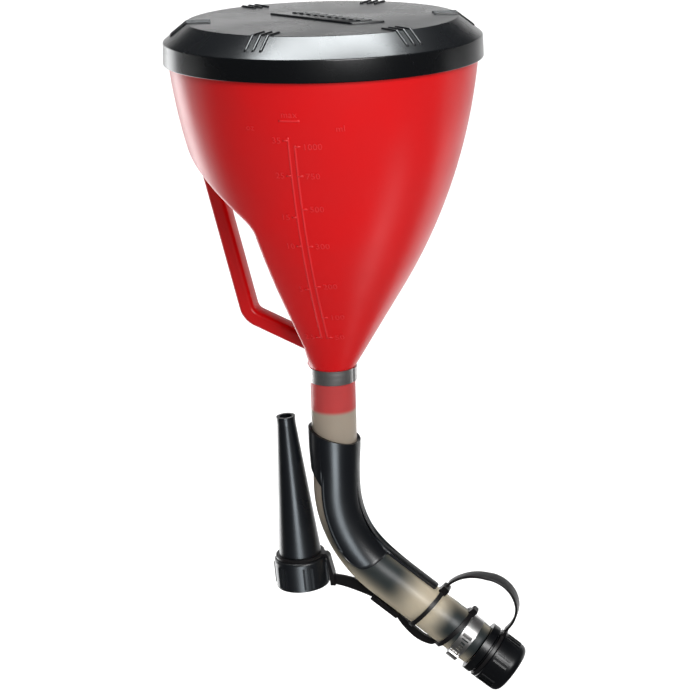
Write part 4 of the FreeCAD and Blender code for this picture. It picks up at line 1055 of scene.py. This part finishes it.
def area_light(name, place, aim, wide, high, power, color=WHITE):
    data = bpy.data.lights.new(name, "AREA")
    data.shape = "RECTANGLE"
    data.size = wide
    data.size_y = high
    data.energy = power
    data.color = color
    lamp = bpy.data.objects.new(name, data)
    lamp.location = place
    lamp.rotation_euler = (Vector(aim) - Vector(place)).to_track_quat("-Z", "Y").to_euler()
    bpy.context.scene.collection.objects.link(lamp)
    return lamp


def shine_on(lamp, pieces):
    """Lets a lamp reach only these pieces."""
    group = bpy.data.collections.new(f"{lamp.name}_reach")
    for piece in pieces:
        group.objects.link(piece)
    lamp.light_linking.receiver_collection = group


def around_middle(heading, height, reach):
    """A place reach metres from the middle, heading degrees right of the camera's side and height up."""
    turn = VIEW_HEADING + math.radians(heading - 90.0)
    rise = math.radians(height)
    way = Vector((math.cos(rise) * math.cos(turn), math.cos(rise) * math.sin(turn), math.sin(rise)))
    return Vector(MIDDLE) + way * reach


def make_stage():
    """A floor and a curved backdrop behind the object, seen from the camera's side."""
    turn = Matrix.Rotation(VIEW_HEADING, 3, "Z")
    curve = rounded([
        (FLOOR_END, FLOOR_Z), (STAGE_BACK, FLOOR_Z, STAGE_CURVE), (STAGE_BACK, BACKDROP_TOP),
    ], closed=False, steps=24)
    stage = []
    for name, line in (("floor", [(-STAGE_HALF, FLOOR_Z), (FLOOR_END, FLOOR_Z)]), ("backdrop", curve)):
        rings = [[turn @ Vector((x, y, z)) / MM for x in (-STAGE_HALF, STAGE_HALF)] for y, z in line]
        points, faces = skin(rings, loop_rings=False, loop_points=False)
        part = make_object(name, points, faces, PAPER, "")
        stage.append(part)
    floor, backdrop = stage
    floor.visible_glossy = False
    wash_place, wash_aim = turn @ Vector((0.0, 1.15, 0.3)), turn @ Vector((0.0, 1.95, FLOOR_Z))
    wash = area_light("backdrop_wash", wash_place, wash_aim, 3.0, 0.5, 24.0)
    shine_on(wash, [backdrop])
    sun_data = bpy.data.lights.new("even_light", "SUN")
    sun_data.energy = 1.9
    sun_data.angle = math.radians(60.0)
    sun = bpy.data.objects.new("even_light", sun_data)
    bpy.context.scene.collection.objects.link(sun)
    shine_on(sun, stage)


def studio():
    bpy.context.scene.view_settings.view_transform = "Standard"
    world = bpy.context.scene.world or bpy.data.worlds.new("studio")
    bpy.context.scene.world = world
    world.use_nodes = True
    back = world.node_tree.nodes["Background"]
    back.inputs["Color"].default_value = (*WHITE, 1.0)
    back.inputs["Strength"].default_value = 0.06
    pieces = [item for item in bpy.data.objects if item.type == "MESH"]
    red = [item for item in pieces if item.name.startswith(("bowl", "handle"))]
    lower = [item for item in pieces if item.name in ("guide_elbow", "nozzle")]
    for name, reached, heading, height, reach, wide, high, power, color in (
        ("key", pieces, 19.0, 24.0, 1.1, 0.5, 0.5, 10.5, WHITE),
        ("overhead", pieces, -160.0, 85.0, 0.98, 0.90, 0.30, 20.0, COOL),
        ("right_low", red, 66.0, -48.0, 0.62, 0.12, 0.42, 0.3, WHITE),
        ("left_side", pieces, -136.0, -20.0, 0.8, 0.30, 0.9, 2.8, PALE_COOL),
        ("low_sheen", lower, 0.0, -30.0, 0.8, 0.26, 0.5, 4.6, COLD),
    ):
        lamp = area_light(name, around_middle(heading, height, reach), MIDDLE, wide, high, power, color)
        shine_on(lamp, reached)
    make_stage()


# ---------------------------------------------------------------- camera (metres)

CAMERA_PITCH, CAMERA_ROLL = math.radians(17.229), math.radians(-1.554)
CAMERA_BACK, CAMERA_SIDE, CAMERA_HEIGHT = 0.9335, 0.006885, 0.1299
LENS, SENSOR = 97.39, 36.0


def camera():
    """Stands where the photo was taken from."""
    side = Vector((math.cos(VIEW_HEADING), math.sin(VIEW_HEADING), 0.0))
    back = Vector((math.sin(VIEW_HEADING), -math.cos(VIEW_HEADING), 0.0))
    place = back * CAMERA_BACK + side * CAMERA_SIDE + Vector((0.0, 0.0, CAMERA_HEIGHT))
    ahead = -back * math.cos(CAMERA_PITCH) - Vector((0.0, 0.0, math.sin(CAMERA_PITCH)))
    above = side.cross(ahead)
    right = side * math.cos(CAMERA_ROLL) + above * math.sin(CAMERA_ROLL)
    up = above * math.cos(CAMERA_ROLL) - side * math.sin(CAMERA_ROLL)
    data = bpy.data.cameras.new("photo_view")
    data.sensor_width = SENSOR
    data.lens = LENS
    data.clip_start = 0.05
    view = bpy.data.objects.new("photo_view", data)
    view.matrix_world = Matrix((
        (right.x, up.x, -ahead.x, place.x),
        (right.y, up.y, -ahead.y, place.y),
        (right.z, up.z, -ahead.z, place.z),
        (0.0, 0.0, 0.0, 1.0),
    ))
    bpy.context.scene.collection.objects.link(view)
    bpy.context.scene.camera = view


# ---------------------------------------------------------------- the scene

finish_nodes()
make_bowl()
make_handle()
make_scale()
make_lid()
make_hose()
make_guide()
make_clamps()
make_cap_strap()
make_nozzle_strap()
studio()
camera()
